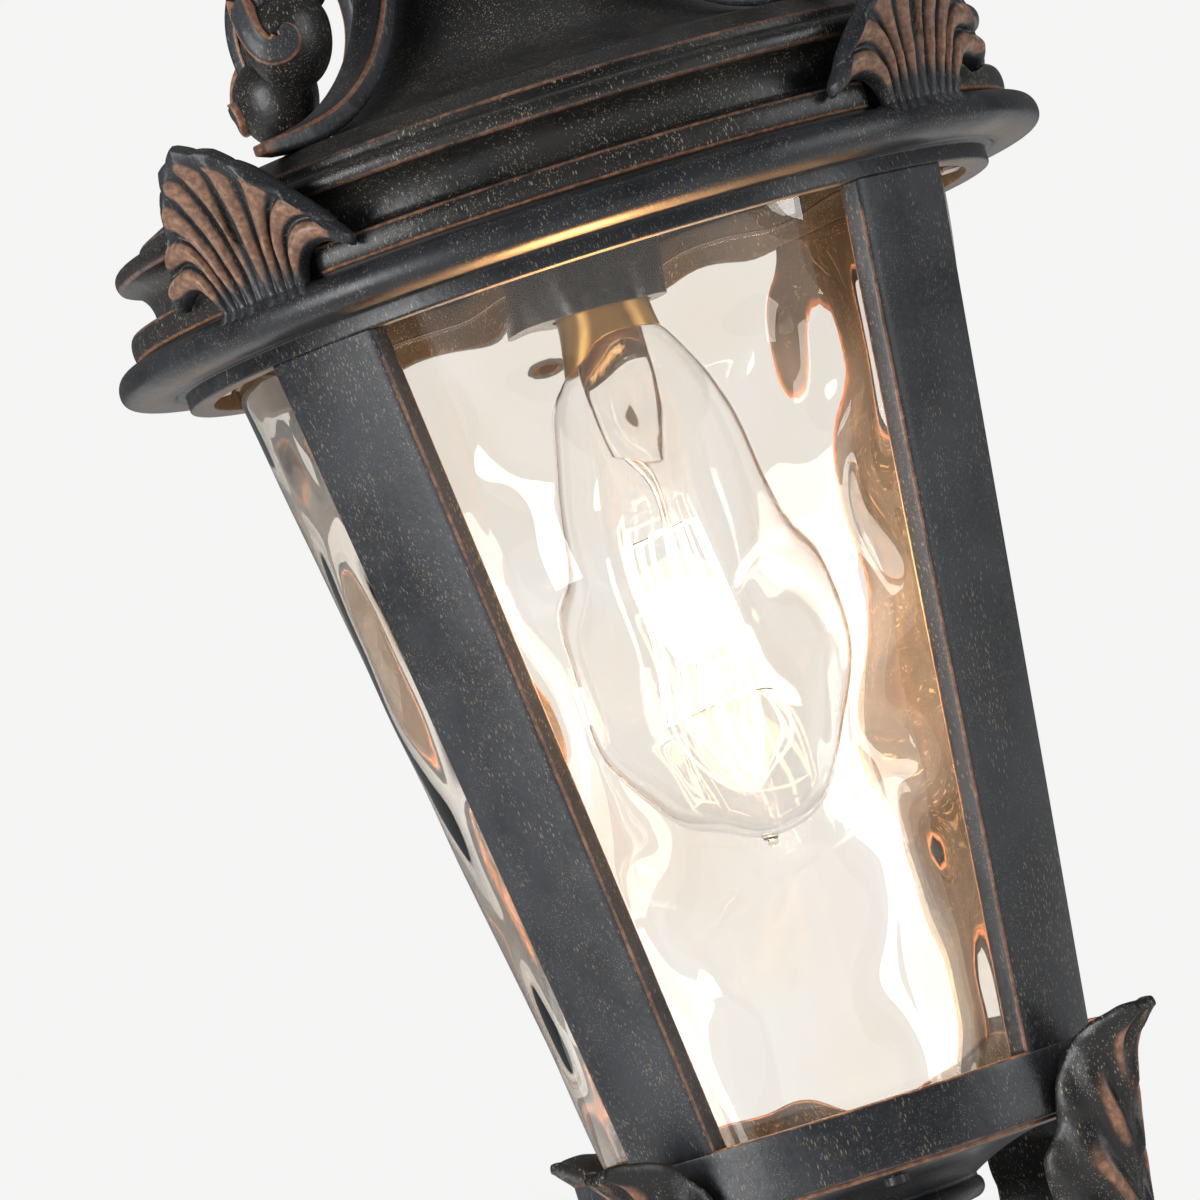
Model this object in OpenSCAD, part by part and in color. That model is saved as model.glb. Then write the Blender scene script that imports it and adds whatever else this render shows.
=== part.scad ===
// Outdoor hanging lantern: a moulded roof with scrolls over a four-strap cage that holds a tapered glass,
// with palmettes on the cage ring, leaf brackets round a cup and finial below, and a screw-in lamp inside.
// Millimetres, +Z up. The origin is the centre of the eye of the hanging loop.

/* [Cage ring] */
// Radius of the ring's lip at its widest
lip_r = 114.3; // [112:0.1:120]
// Width of the ring's rounded shoulder, from its lip to its flat top
shoulder_w = 5; // [4.4:0.1:5.6]
// Height of the ring's flat top above the widest line of its lip
shoulder_rise = 5.1; // [4:0.1:7]
// Depth of the ring's underside below the widest line of its lip
lip_drop = 3.8; // [3:0.1:5]
// How far the plain apron under the lip is set in from the lip
apron_in = 14.9; // [13.5:0.1:16.5]
// Height of the apron
apron_h = 4.6; // [3:0.1:8]
// Wall of the ring behind its apron
ring_wall = 5.9; // [5.6:0.1:7]

/* [Straps and bottom band] */
// Clear height of the windows, from the apron down to the band
window_h = 201.4; // [180:0.1:215]
// Width of a strap at its top
strap_top_w = 32.3; // [26:0.1:36]
// Width of a strap at its foot
strap_foot_w = 25.5; // [22:0.1:30]
// Thickness of a strap
strap_t = 5.5; // [5:0.1:6]
// Outer radius of the bottom band
band_r = 67.6; // [66:0.1:70]
// Height of the bottom band
band_h = 15.5; // [13:0.1:20]
// Wall of the bottom band
band_wall = 3.5; // [3:0.1:4]
// Thickness of the ledge that carries the glass
ledge_t = 3; // [2.5:0.1:4]
// Width of the ledge inside the band's wall
ledge_w = 11; // [10.5:0.1:13]
// Thickness of the tongue by which a strap is screwed to the band
tongue_t = 2; // [1.6:0.1:2.4]
// Width of that tongue
tongue_w = 18; // [14:0.1:22]

/* [Roof] */
// Thickness of the gasket between the roof and the cage ring
gasket_t = 1; // [0.6:0.1:2]
// How far the roof's lower rim is set in from the ring's lip
rim_in = 5.9; // [5.7:0.1:7]
// Height of the roof's lower rim
rim_h = 6.3; // [5:0.1:8]
// How far the hollow above the lower rim is set in from the ring's lip
cove_in = 13.9; // [12.5:0.1:14.5]
// Height of the cavetto from the lower rim to the flared lip
cove_h = 13; // [11:0.1:15]
// How far the flared lip is set in from the ring's lip
flare_in = 7; // [6:0.1:9]
// How far the roof's upper copper edge is set in from the ring's lip
top_edge_in = 24.5; // [21:0.1:28]
// Height of that edge above the flared lip
top_edge_rise = 11.1; // [9:0.1:13]
// Radius of the dome's neck
neck_r = 26; // [24:0.1:30]
// Height of the dome from the upper edge to the top of its neck
dome_h = 58.5; // [50:0.1:70]
// Wall of the roof casting
roof_wall = 3.5; // [3:0.1:4.5]
// Thickness of the dome's top plate
top_plate_t = 4; // [3:0.1:6]
// Half width of the notch in the lower rim behind each palmette
notch_half_w = 15; // [13:0.1:18]

/* [Top cap and hanging loop] */
// Height of the turned cap over the neck
cap_h = 24; // [18:0.1:34]
// Radius of the cap's foot
cap_foot_r = 30; // [28:0.1:34]
// Radius of the cap's top
cap_top_r = 11; // [10:0.1:14]
// Radius of the loop's eye
eye_r = 12; // [9:0.1:15]
// Radial thickness of the loop round its eye
eye_wall = 5; // [4:0.1:7]
// Width of the flat wall inside the eye
eye_len = 5; // [4:0.1:8]
// Length of the loop's shank
shank_h = 12; // [10:0.1:16]
// Radius of the loop's shank
shank_r = 8.5; // [8:0.1:10]
// Radius of the threaded nipple
nipple_r = 4.85; // [4.5:0.05:5.5]
// Radius of the wireway through the nipple
wireway_r = 3.2; // [2.5:0.1:3.6]

/* [Scrolls] */
// Width of a scroll's band at its broadest
scroll_w = 12; // [9:0.1:13]
// Thickness of a scroll's band at its thickest
scroll_t = 6; // [5:0.1:7]
// Radius of the ball in the volute
scroll_ball_r = 7; // [6:0.1:8]
// How far a scroll's tail stands out over the roof's upper edge
scroll_tail_out = 8.2; // [6:0.1:9]
// Length of a scroll's foot on the roof
scroll_foot_len = 24; // [20:0.1:26]
// Length of a scroll's stem, which rises along the dome
scroll_stem_len = 39; // [34:0.1:42]
// Length of the arch over the stem's top
scroll_arch_len = 76; // [66:0.1:82]
// Length of the fall from the arch to the volute
scroll_fall_len = 14; // [10:0.1:18]
// Length of the volute round its bottom
scroll_volute_len = 21; // [18:0.1:25]
// Length of the curl in to the ball
scroll_curl_len = 10; // [8:0.1:12]

/* [Palmettes] */
// Height of a palmette's tip above its base
palmette_h = 38; // [32:0.1:42]
// Half width of a palmette at its curls
palmette_half_w = 28.2; // [24:0.1:31]
// Half width of a palmette at its base
palmette_base_half_w = 13.2; // [11:0.1:14]
// How far a palmette's tip leans out
palmette_lean = 14; // [8:0.1:18]
// Thickness of a palmette between its ribs
palmette_t = 2.6; // [2:0.1:3]
// Height of a palmette's ribs
palmette_rib = 2.4; // [1.5:0.1:3]
// Number of lobes on a palmette
palmette_lobes = 9; // [7:2:11]

/* [Glass] */
// Gap between the glass and the ring's hole, at the level of the apron's edge
glass_top_gap = 5.4; // [4.4:0.1:7]
// Gap between the glass and the band's wall, at the level of the band's top
glass_foot_gap = 4.7; // [4:0.1:6]
// Wall of the glass
glass_wall = 3; // [2.4:0.1:3.6]
// How far the glass stands up inside the ring
glass_up = 6.4; // [5:0.1:8]
// Thickness of the gasket under the glass
glass_gasket_t = 1.5; // [1:0.1:2]

/* [Cup, hub and finial] */
// How far the bottom cup's flange is set in from the band's face
cup_in = 3.6; // [2.6:0.1:5]
// Depth of the cup down to its bead
cup_depth = 10.5; // [9:0.1:13]
// Radius of the cup's bead
bead_r = 24.2; // [22:0.1:27]
// Length of the turned stem below the bead
stem_h = 30; // [24:0.1:36]
// Radius of the hub that the leaf brackets end on
hub_r = 20; // [18:0.1:22]
// Height of the hub
hub_h = 22; // [18:0.1:26]
// Length of the finial below the hub
finial_h = 30; // [24:0.1:40]
// Radius of the finial at its widest
finial_r = 14; // [12:0.1:17]
// Radius of the rod through the cup, hub and finial
rod_r = 3; // [2.5:0.1:4]

/* [Leaf brackets] */
// Width of a leaf bracket at its broadest
leaf_w = 30; // [26:0.1:32]
// Thickness of a leaf bracket at its rib
leaf_t = 5.4; // [4.5:0.1:6]
// How far a leaf bracket's sides turn back from its rib
leaf_fall = 13; // [10:0.1:13.5]
// How far a leaf bracket's tip stands out from the band
leaf_tip_out = 26.3; // [24:0.1:30]
// How far that tip stands above the band's top
leaf_tip_up = 2.3; // [0:0.1:4]
// Length of the outward curl at the tip
leaf_curl_len = 13.5; // [11:0.1:16]
// Length of the bend that follows it
leaf_bend_len = 7; // [5:0.1:9]
// Length of the last bend, which leads in to the hub
leaf_foot_len = 30; // [26:0.1:34]
// Radius of the bosses that carry the leaf brackets
boss_r = 5.5; // [4.5:0.1:6]
// Number of lobes along a leaf bracket
leaf_lobes = 4; // [3:1:6]

/* [Lampholder and lamp] */
// Outer radius of the lampholder
holder_r = 19; // [18:0.1:21]
// Height of the lampholder
holder_h = 40; // [36:0.1:46]
// Depth of the lampholder's mouth below the ring's lip
holder_drop = 15; // [12:0.1:18]
// Radius of the lamp's screw cap
lamp_cap_r = 13.1; // [13:0.05:13.3]
// Length of the lamp's screw cap
lamp_cap_h = 24; // [22:0.1:26]
// Radius of the lamp's bulb at its widest
lamp_r = 32; // [28:0.1:34]
// Length of the lamp's glass
lamp_glass_h = 120; // [110:0.1:128]
// Wall of the lamp's glass
lamp_wall = 1; // [0.8:0.1:1.4]
// Radius of the filament wire, which stands for its fine coil
filament_r = 0.35; // [0.3:0.05:0.5]
// Number of upright runs in the filament cage
filament_runs = 12; // [8:2:16]

/* [Fits] */
// Clearance between a shank and its hole in the same body
hole_gap = 0.1; // [0.05:0.05:0.2]
// Clearance between a shaped casting and what it seats on
seat_gap = 0.3; // [0.2:0.05:0.4]
// Clearance between the lamp's cap and the screw shell, which a lamp turns in
lamp_gap = 0.1; // [0.08:0.01:0.1]

/* [Hidden] */
$fn = 96;

// Heights above the widest line of the ring's lip
apron_z = -lip_drop - apron_h;
band_top_z = apron_z - window_h;
band_low_z = band_top_z - band_h;
roof_z = shoulder_rise + gasket_t;
rim_top_z = roof_z + rim_h;
flare_z = rim_top_z + cove_h;
top_edge_z = flare_z + top_edge_rise;
neck_z = top_edge_z + dome_h;
cap_top_z = neck_z + cap_h;
eye_z = cap_top_z + shank_h + eye_r;
ledge_z = band_low_z + ledge_t;
glass_low_z = ledge_z + glass_gasket_t;
glass_top_z = apron_z + glass_up;
bead_z = band_low_z - cup_depth;
hub_z = bead_z - stem_h;
finial_z = hub_z - hub_h;
holder_z = -holder_drop;
lamp_seat_z = holder_z + 19;

// Radii that follow from the ring's lip and the band
shoulder_r = lip_r - shoulder_w;
apron_r = lip_r - apron_in;
ring_hole_r = apron_r - ring_wall;
rim_r = lip_r - rim_in;
cove_r = lip_r - cove_in;
flare_r = lip_r - flare_in;
top_edge_r = lip_r - top_edge_in;
glass_top_r = ring_hole_r - glass_top_gap;
glass_foot_r = band_r - band_wall - glass_foot_gap;
cup_r = band_r - cup_in;

// Slopes of the strap and the glass, in radius per height
strap_slope = (apron_r - band_r) / window_h;
strap_tilt = atan(strap_slope);
glass_slope = (glass_top_r - glass_foot_r) / window_h;
function glass_r(z) = glass_top_r + glass_slope * (z - apron_z);

// Radii of the small screws' shanks and the bolt circles
screw_r = 2;
small_screw_r = 1.5;
roof_screw_circle = (cove_r + rim_r) / 2 - 1.4;
cup_screw_circle = cup_r - 4.5;

// How far a shape runs past the plane that trims it
trim_over = 12;

// Colours as the photograph shows them
iron = [0.19, 0.2, 0.22];
brown_iron = [0.2, 0.17, 0.15];
copper = [0.66, 0.43, 0.3];
brass = [0.75, 0.6, 0.3];
steel = [0.62, 0.63, 0.65];
rubber = [0.12, 0.12, 0.12];
insulation = [0.08, 0.08, 0.08];
amber = [0.85, 0.66, 0.4, 0.45];
clear_glass = [0.95, 0.9, 0.8, 0.35];
glow = [1, 0.85, 0.5];

// Points of a cubic curve
function curve(a, b, c, d, n) =
    [for (i = [0:n]) let (t = i / n, s = 1 - t)
        a * s * s * s + b * 3 * s * s * t + c * 3 * s * t * t + d * t * t * t];

// Points along runs of [length, turn], each run an arc: [radius, height, heading, distance walked]
function walk(start, runs, step_turn, step_len, i = 0) =
    i == len(runs) ? [start] :
    let (
        run = runs[i],
        n = max(1, ceil(max(abs(run[1]) / step_turn, run[0] / step_len))),
        pts = [for (k = [0:n]) along(start, run, k / n)]
    )
    concat([for (k = [0:n - 1]) pts[k]], walk(pts[n], runs, step_turn, step_len, i + 1));

// A point part of the way along one arc
function along(start, run, part) =
    let (
        turned = run[1] * part,
        reach = run[0] * part,
        chord = turned == 0 ? reach : reach * sin(abs(turned) / 2) / (abs(turned) / 2 * PI / 180),
        way = start[2] + turned / 2
    )
    [start[0] + chord * cos(way), start[1] + chord * sin(way), start[2] + turned, start[3] + reach];

// Triangles of a tube whose rings all have the same number of points
function tube_faces(rings, sides) = concat(
    [[for (k = [0:sides - 1]) k]],
    [for (i = [0:rings - 2], k = [0:sides - 1])
        let (a = i * sides + k, b = i * sides + (k + 1) % sides) [a, a + sides, b]],
    [for (i = [0:rings - 2], k = [0:sides - 1])
        let (a = i * sides + k, b = i * sides + (k + 1) % sides) [b, a + sides, b + sides]],
    [[for (k = [sides - 1:-1:0]) (rings - 1) * sides + k]]);

// A swept solid in the radial plane: section(s) gives [across, out] pairs at each point of the path
module swept(path, sections) {
    sides = len(sections[0]);
    points = [for (i = [0:len(path) - 1], q = sections[i])
        let (p = path[i])
        [p[0] + q[1] * cos(p[2] + 90), q[0], p[1] + q[1] * sin(p[2] + 90)]];
    polyhedron(points, tube_faces(len(path), sides), convexity = 6);
}

// A revolved solid from its outline
module turned(outline) {
    rotate_extrude(convexity = 6) polygon(outline);
}

// A ring with flat faces
module flat_ring(outer, inner, low, high) {
    translate([0, 0, low]) difference() {
        cylinder(r = outer, h = high - low);
        translate([0, 0, -1]) cylinder(r = inner, h = high - low + 2);
    }
}

// A plain bar or hole along +Z
module bar(r, low, high) {
    translate([0, 0, low]) cylinder(r = r, h = high - low);
}

// The lantern's heights are given from the ring's lip, and this puts its origin at the loop's eye
module in_frame() {
    translate([0, 0, -eye_z]) children();
}

// One of the four corners, where strap, palmette, scroll and leaf bracket stand, with +X pointing outwards
module at_corner(n) {
    rotate(90 * n - 45) children();
}

// The middle of one of the four windows
module at_window(n) {
    rotate(90 * n) children();
}

module at_corners() {
    for (n = [0:3]) at_corner(n) children();
}

module at_windows() {
    for (n = [0:3]) at_window(n) children();
}

// Hanging loop: an eye with a flat inner wall on a shank that screws onto the nipple
module hanging_loop() {
    eye_half = eye_len / 2 + 1;
    outer = eye_r + eye_wall;
    color(iron) in_frame() difference() {
        union() {
            translate([0, 0, eye_z]) rotate([90, 0, 0]) turned(concat(
                [[eye_r, eye_len / 2], [eye_r, -eye_len / 2]],
                curve([eye_r + 1, -eye_half], [outer - 1, -eye_half], [outer, -eye_half + 1], [outer, -1], 5),
                curve([outer, 1], [outer, eye_half - 1], [outer - 1, eye_half], [eye_r + 1, eye_half], 5)));
            translate([0, 0, cap_top_z]) turned(concat(
                [[0, 0]],
                curve([shank_r, 0], [shank_r + 1, 3], [shank_r - 1, 6], [shank_r - 1.5, shank_h - 1.5], 6),
                [[0, shank_h - 1.5]]));
        }
        translate([0, 0, eye_z]) rotate([90, 0, 0]) bar(eye_r, -eye_half - 3, eye_half + 3);
        bar(nipple_r + hole_gap, cap_top_z - 1, cap_top_z + nipple_depth);
        bar(wireway_r, cap_top_z, eye_z);
        translate([0, 0, set_screw_z]) rotate([0, 90, 0]) bar(small_screw_r + hole_gap, 0, shank_r + 3);
    }
}
nipple_depth = shank_h - 3;
set_screw_z = cap_top_z + nipple_depth / 2;

// Set screw that locks the loop on the nipple
module loop_set_screw() {
    color(steel) in_frame() translate([0, 0, set_screw_z]) rotate([0, 90, 0])
        bar(small_screw_r, nipple_r + hole_gap, shank_r - 0.5);
}

// Threaded nipple: the tube that carries the roof, cap and lampholder and leads the wires in
module threaded_nipple() {
    color(steel) in_frame()
        flat_ring(nipple_r, wireway_r, holder_top_z + 1, cap_top_z + nipple_depth - hole_gap);
}
holder_top_z = holder_z + holder_h;

// Turned cap that closes the dome's neck
module roof_cap() {
    color(iron) in_frame() difference() {
        translate([0, 0, neck_z]) turned(concat(
            [[0, 0]],
            curve([cap_foot_r - 1.5, 0], [cap_foot_r + 1, 0.5], [cap_foot_r + 1, 4], [cap_foot_r - 2, 5], 6),
            curve([cap_foot_r - 4, 6], [cap_foot_r - 12, 7], [cap_top_r, 10], [cap_top_r, cap_h - 6], 8),
            curve([cap_top_r + 2, cap_h - 5], [cap_top_r + 3.5, cap_h - 4], [cap_top_r + 3.5, cap_h - 1],
                [cap_top_r + 1.5, cap_h], 5),
            [[0, cap_h]]));
        bar(nipple_r + hole_gap, neck_z - 1, cap_top_z + 1);
    }
}

// Outer line of the roof from its seat up to the neck, and the inner line a wall's thickness inside it
roof_outer = concat(
    curve([rim_r - 0.8, roof_z], [rim_r + 0.2, roof_z + 0.6], [rim_r + 0.3, rim_top_z - 2.5],
        [rim_r - 1.2, rim_top_z], 5),
    curve([cove_r, rim_top_z + 1], [cove_r, rim_top_z + 7], [cove_r + 3, flare_z - 3],
        [flare_r - 0.6, flare_z - 1.6], 7),
    curve([flare_r, flare_z - 0.6], [flare_r + 0.3, flare_z + 1], [flare_r, flare_z + 2.4],
        [flare_r - 2, flare_z + 2.9], 4),
    [[cove_r - 0.4, flare_z + 4.9], [cove_r - 0.7, flare_z + 6.4], [top_edge_r, top_edge_z]],
    curve([top_edge_r - 3, top_edge_z + 0.6], [56, top_edge_z + 2.4], [neck_r + 10, top_edge_z + 15],
        [neck_r, neck_z], 14));
roof_inner = concat(
    [[0, neck_z - top_plate_t]],
    curve([neck_r - roof_wall, neck_z - top_plate_t], [neck_r + 10 - roof_wall, top_edge_z + 12],
        [54, top_edge_z + 2 - roof_wall], [top_edge_r - 6, top_edge_z + 0.4 - roof_wall], 12),
    [[cove_r - roof_wall - 2, flare_z + 3], [cove_r - roof_wall, flare_z - 1], [cove_r - roof_wall, roof_z]]);

// Where each scroll is screwed to the dome: a point inside the wall and the way the screw points
scroll_seat_r = top_edge_r - 15.8;
scroll_seat_z = top_edge_z + 2.4;
scroll_seat_tilt = 14;
scroll_head_z = -roof_wall - 1.05;
scroll_screw_end_z = 3;

// Round-ended notch in the lower rim that a palmette stands in front of
module rim_notch() {
    depth = rim_r - cove_r - 1;
    translate([cove_r + 1, 0, roof_z - 1]) linear_extrude(height = rim_h + 1.4) {
        for (side = [-1, 1]) translate([depth, side * (notch_half_w - depth)]) circle(r = depth);
        translate([0, -notch_half_w + depth]) square([2 * depth, 2 * (notch_half_w - depth)]);
        translate([depth, -notch_half_w]) square([depth, 2 * notch_half_w]);
    }
}

module at_scroll_seat() {
    translate([scroll_seat_r, 0, scroll_seat_z]) rotate([0, scroll_seat_tilt, 0]) children();
}

// Roof: one casting with a rimmed foot, a flared lip and a bell dome
module roof() {
    color(brown_iron) in_frame() difference() {
        turned(concat(roof_outer, [[0, neck_z]], roof_inner));
        bar(nipple_r + hole_gap, neck_z - top_plate_t - 1, neck_z + 1);
        at_windows() translate([roof_screw_circle, 0, 0])
            bar(screw_r + hole_gap, roof_z - 1, rim_top_z - 1);
        at_corners() rim_notch();
        at_corners() at_scroll_seat() bar(small_screw_r + hole_gap, -14, 6);
        at_window(0) translate([cove_r - roof_wall - 1, 0, flare_z - 5]) rotate([0, 90, 0])
            bar(small_screw_r + hole_gap, 0, 3.5);
    }
}

// Washer and nut that clamp the roof and cap on the nipple
module nipple_washer() {
    color(steel) in_frame() flat_ring(9, nipple_r + hole_gap,
        neck_z - top_plate_t - washer_t, neck_z - top_plate_t);
}
washer_t = 1.2;

module nipple_nut() {
    high = neck_z - top_plate_t - washer_t;
    color(steel) in_frame() difference() {
        translate([0, 0, high - nut_h]) cylinder(r = 8.1, h = nut_h, $fn = 6);
        bar(nipple_r + hole_gap, high - nut_h - 1, high + 1);
    }
}
nut_h = 4;

// Gasket between the roof's foot and the cage ring
module roof_gasket() {
    color(rubber) in_frame() difference() {
        flat_ring(roof_screw_circle + 3.6, cove_r - 1.2, shoulder_rise, roof_z);
        at_windows() translate([roof_screw_circle, 0, 0]) bar(screw_r + hole_gap, 0, roof_z + 1);
    }
}

// Screws that hold the scrolls, driven from inside the dome
module scroll_screws() {
    color(steel) in_frame() at_corners() at_scroll_seat() {
        bar(small_screw_r, scroll_head_z, scroll_screw_end_z);
        bar(3, scroll_head_z - 2, scroll_head_z);
    }
}

// Earth screw on the inner face of the roof's wall
module earth_screw() {
    color(brass) in_frame() at_window(0) translate([cove_r - roof_wall, 0, flare_z - 5]) rotate([0, 90, 0]) {
        bar(small_screw_r, -0.1, 2);
        bar(3.5, -2.5, -0.1);
    }
}

// Path of a scroll: a foot on the roof's edge, a stem up the dome, an arch, and a volute that ends in a ball
scroll_path = walk([top_edge_r + scroll_tail_out, top_edge_z + 2.4, 178, 0],
    [[scroll_foot_len / 2, -4], [scroll_foot_len / 2, -12], [scroll_stem_len, -42], [scroll_arch_len, -210],
     [scroll_fall_len, -10], [scroll_volute_len, -160], [scroll_curl_len, -100]], 16, 8);
scroll_ball_rise = 2.7;
scroll_length = scroll_path[len(scroll_path) - 1][3];

// Section of a scroll at a share of its length: flat towards the dome, ridged on the other side
function scroll_section(s) =
    let (
        w = scroll_w * min(1, 0.34 + 3.6 * s) * (1 - 0.25 * max(0, s - 0.35)),
        t = scroll_t * min(1, 0.42 + 3.4 * s) * (1 - 0.3 * max(0, s - 0.4)),
        h = w / 2
    )
    [[-h * 0.72, t / 2], [-h, t * 0.18], [-h * 0.94, -t * 0.2], [-h * 0.4, -t * 0.36],
     [0, -t / 2], [h * 0.4, -t * 0.36], [h * 0.94, -t * 0.2], [h, t * 0.18], [h * 0.72, t / 2]];

module roof_scroll(n) {
    end = scroll_path[len(scroll_path) - 1];
    color(iron) in_frame() difference() {
        at_corner(n) union() {
            swept(scroll_path, [for (p = scroll_path) scroll_section(p[3] / scroll_length)]);
            translate([end[0] + scroll_ball_rise * cos(end[2] + 90), 0, end[1] + scroll_ball_rise * sin(end[2] + 90)])
                sphere(r = scroll_ball_r, $fn = 32);
        }
        at_corner(n) at_scroll_seat() bar(small_screw_r + hole_gap, scroll_head_z, scroll_screw_end_z + 0.3);
    }
}

// Metal cap of the lampholder, threaded on the nipple
module holder_cap() {
    color(brass) in_frame() difference() {
        translate([0, 0, holder_top_z - 6]) turned([
            [0, 6], [0, 13], [8, 13], [8, 9], [holder_r - 3, 9], [holder_r + 0.8, 7.2], [holder_r + 0.8, 0],
            [holder_r + hole_gap, 0], [holder_r + hole_gap, 6]]);
        bar(nipple_r + hole_gap, holder_top_z + 1, holder_top_z + 10);
        bar(wireway_r, holder_top_z - 1, holder_top_z + 2);
    }
}

// Lampholder body with the bore that the screw shell lines
module lampholder() {
    shell_r = lamp_cap_r + lamp_gap + shell_wall + hole_gap;
    color(insulation) in_frame() difference() {
        bar(holder_r, holder_z, holder_top_z);
        bar(shell_r, holder_z - 1, lamp_seat_z + 4);
        bar(2.5, lamp_seat_z, holder_top_z + 1);
    }
}
shell_wall = 0.5;

// Threaded brass shell, drawn at its mean radius
module screw_shell() {
    inner = lamp_cap_r + lamp_gap;
    color(brass) in_frame() flat_ring(inner + shell_wall, inner, holder_z + 2, lamp_seat_z + 1);
}

// Sprung contact above the lamp's tip
module centre_contact() {
    color(brass) in_frame() {
        bar(5, lamp_seat_z + seat_gap, lamp_seat_z + 1.3);
        bar(2.4, lamp_seat_z + 1.3, lamp_seat_z + 12);
    }
}

// Where a strap's top screw runs, along the middle of the strap
module at_strap_screw() {
    at_corners() translate([apron_r - strap_t / 2, 0, apron_z]) rotate([0, strap_tilt, 0]) children();
}
strap_screw_head_z = 9.5;

// Outline of the cage ring: apron, underside, rounded lip and flat top
ring_outline = concat(
    [[ring_hole_r, apron_z], [apron_r, apron_z], [apron_r, -lip_drop], [apron_r + 1.2, -lip_drop + 0.8],
     [apron_r + 2, -lip_drop]],
    curve([lip_r - 3, -lip_drop], [lip_r - 0.6, -lip_drop + 0.3], [lip_r, -2], [lip_r, 0], 5),
    curve([lip_r, 0.6], [lip_r - 0.4, 3], [lip_r - 2, shoulder_rise - 0.2], [shoulder_r, shoulder_rise], 5),
    [[ring_hole_r, shoulder_rise]]);

module cage_ring() {
    color(iron) in_frame() difference() {
        turned(ring_outline);
        at_windows() {
            translate([roof_screw_circle, 0, 0]) {
                bar(screw_r + hole_gap, -lip_drop - 1, shoulder_rise + 1);
                bar(roof_head_r + 0.2, -lip_drop - 1, roof_head_z + hole_gap);
            }
            translate([ring_hole_r - 1, 0, clip_z]) rotate([0, 90, 0]) bar(small_screw_r + hole_gap, 0, 7);
        }
        at_strap_screw() {
            bar(screw_r + hole_gap, -2, 20);
            bar(3.8, strap_screw_head_z, 20);
        }
    }
}
roof_head_r = 3.6;
roof_head_z = -lip_drop + 2.4;
clip_z = -1.5;

// Screws from under the ring up into the roof's foot
module roof_screws() {
    color(steel) in_frame() at_windows() translate([roof_screw_circle, 0, 0]) {
        bar(screw_r, -lip_drop + 0.4, rim_top_z - 1.4);
        bar(roof_head_r, -lip_drop + 0.4, roof_head_z);
    }
}

// A strap: a tapered flat bar that slopes in, with a tongue behind the band
module cage_strap(n) {
    color(iron) in_frame() at_corner(n) difference() {
        union() {
            intersection() {
                translate([apron_r, 0, apron_z]) rotate([0, strap_tilt, 0]) rotate([0, -90, 0])
                    linear_extrude(height = strap_t, convexity = 4) polygon([
                        [trim_over, strap_top_w / 2], [trim_over, -strap_top_w / 2],
                        [0, -strap_top_w / 2], [-window_h, -strap_foot_w / 2],
                        [-window_h - trim_over, -strap_foot_w / 2], [-window_h - trim_over, strap_foot_w / 2],
                        [-window_h, strap_foot_w / 2], [0, strap_top_w / 2]]);
                translate([0, -strap_top_w, band_top_z]) cube([lip_r, 2 * strap_top_w, window_h]);
            }
            intersection() {
                translate([band_r - strap_t - 1, -tongue_w / 2, ledge_z + 1])
                    cube([strap_t, tongue_w, band_top_z - ledge_z + 1]);
                flat_ring(band_r - band_wall - 0.05, band_r - band_wall - tongue_t, ledge_z, band_top_z + 3);
            }
        }
        translate([apron_r - strap_t / 2, 0, apron_z]) rotate([0, strap_tilt, 0])
            bar(screw_r + hole_gap, -12, 2);
        translate([0, 0, leaf_screw_z]) rotate([0, 90, 0])
            bar(screw_r + hole_gap, band_r - band_wall - tongue_t - 2, band_r);
    }
}
leaf_screw_z = (band_top_z + band_low_z) / 2;

// Screws down through the ring into the tops of the straps
module strap_screws() {
    color(steel) in_frame() at_strap_screw() {
        bar(screw_r, -11, strap_screw_head_z);
        bar(3.5, strap_screw_head_z, strap_screw_head_z + 3);
    }
}

// Bottom band with the ledge for the glass and four bosses for the leaf brackets
module bottom_band() {
    color(iron) in_frame() difference() {
        union() {
            bar(band_r, band_low_z, band_top_z);
            at_corners() translate([0, 0, leaf_screw_z]) rotate([0, 90, 0]) bar(boss_r, band_r - 2, boss_end_r);
        }
        bar(band_r - band_wall, ledge_z, band_top_z + 1);
        bar(band_r - band_wall - ledge_w, band_low_z - 1, band_top_z);
        at_corners() translate([0, 0, leaf_screw_z]) rotate([0, 90, 0])
            bar(screw_r + hole_gap, band_r - band_wall - 5, boss_end_r + 1);
        at_windows() translate([cup_screw_circle, 0, 0]) bar(small_screw_r + hole_gap, band_low_z - 1, ledge_z - 0.6);
    }
}

// Tapered glass, drawn smooth at its mean surface
module glass_shade() {
    top_r = glass_r(glass_top_z);
    low_r = glass_r(glass_low_z);
    color(amber) in_frame() turned([
        [low_r, glass_low_z], [top_r, glass_top_z], [top_r - glass_wall, glass_top_z],
        [low_r - glass_wall, glass_low_z]]);
}

// Gasket on the ledge under the glass
module glass_gasket() {
    low_r = glass_r(glass_low_z);
    color(rubber) in_frame() flat_ring(low_r + 1.4, low_r - glass_wall - 0.6, ledge_z, glass_low_z);
}

// Spring clips that keep the top of the glass centred in the ring
clip_w = 10;
clip_t = 0.8;
clip_back_r = sqrt(ring_hole_r * ring_hole_r - clip_w * clip_w / 4) - 0.05;
module glass_clips() {
    touch_r = glass_r(clip_z - 4) + seat_gap;
    color(steel) in_frame() at_windows() difference() {
        union() {
            translate([clip_back_r - clip_t, -clip_w / 2, clip_z - 5]) cube([clip_t, clip_w, 9]);
            translate([touch_r, -clip_w / 2, clip_z - 5]) cube([clip_back_r - touch_r, clip_w, clip_t]);
        }
        translate([clip_back_r - 3, 0, clip_z]) rotate([0, 90, 0]) bar(small_screw_r + hole_gap, 0, 6);
    }
}

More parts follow.
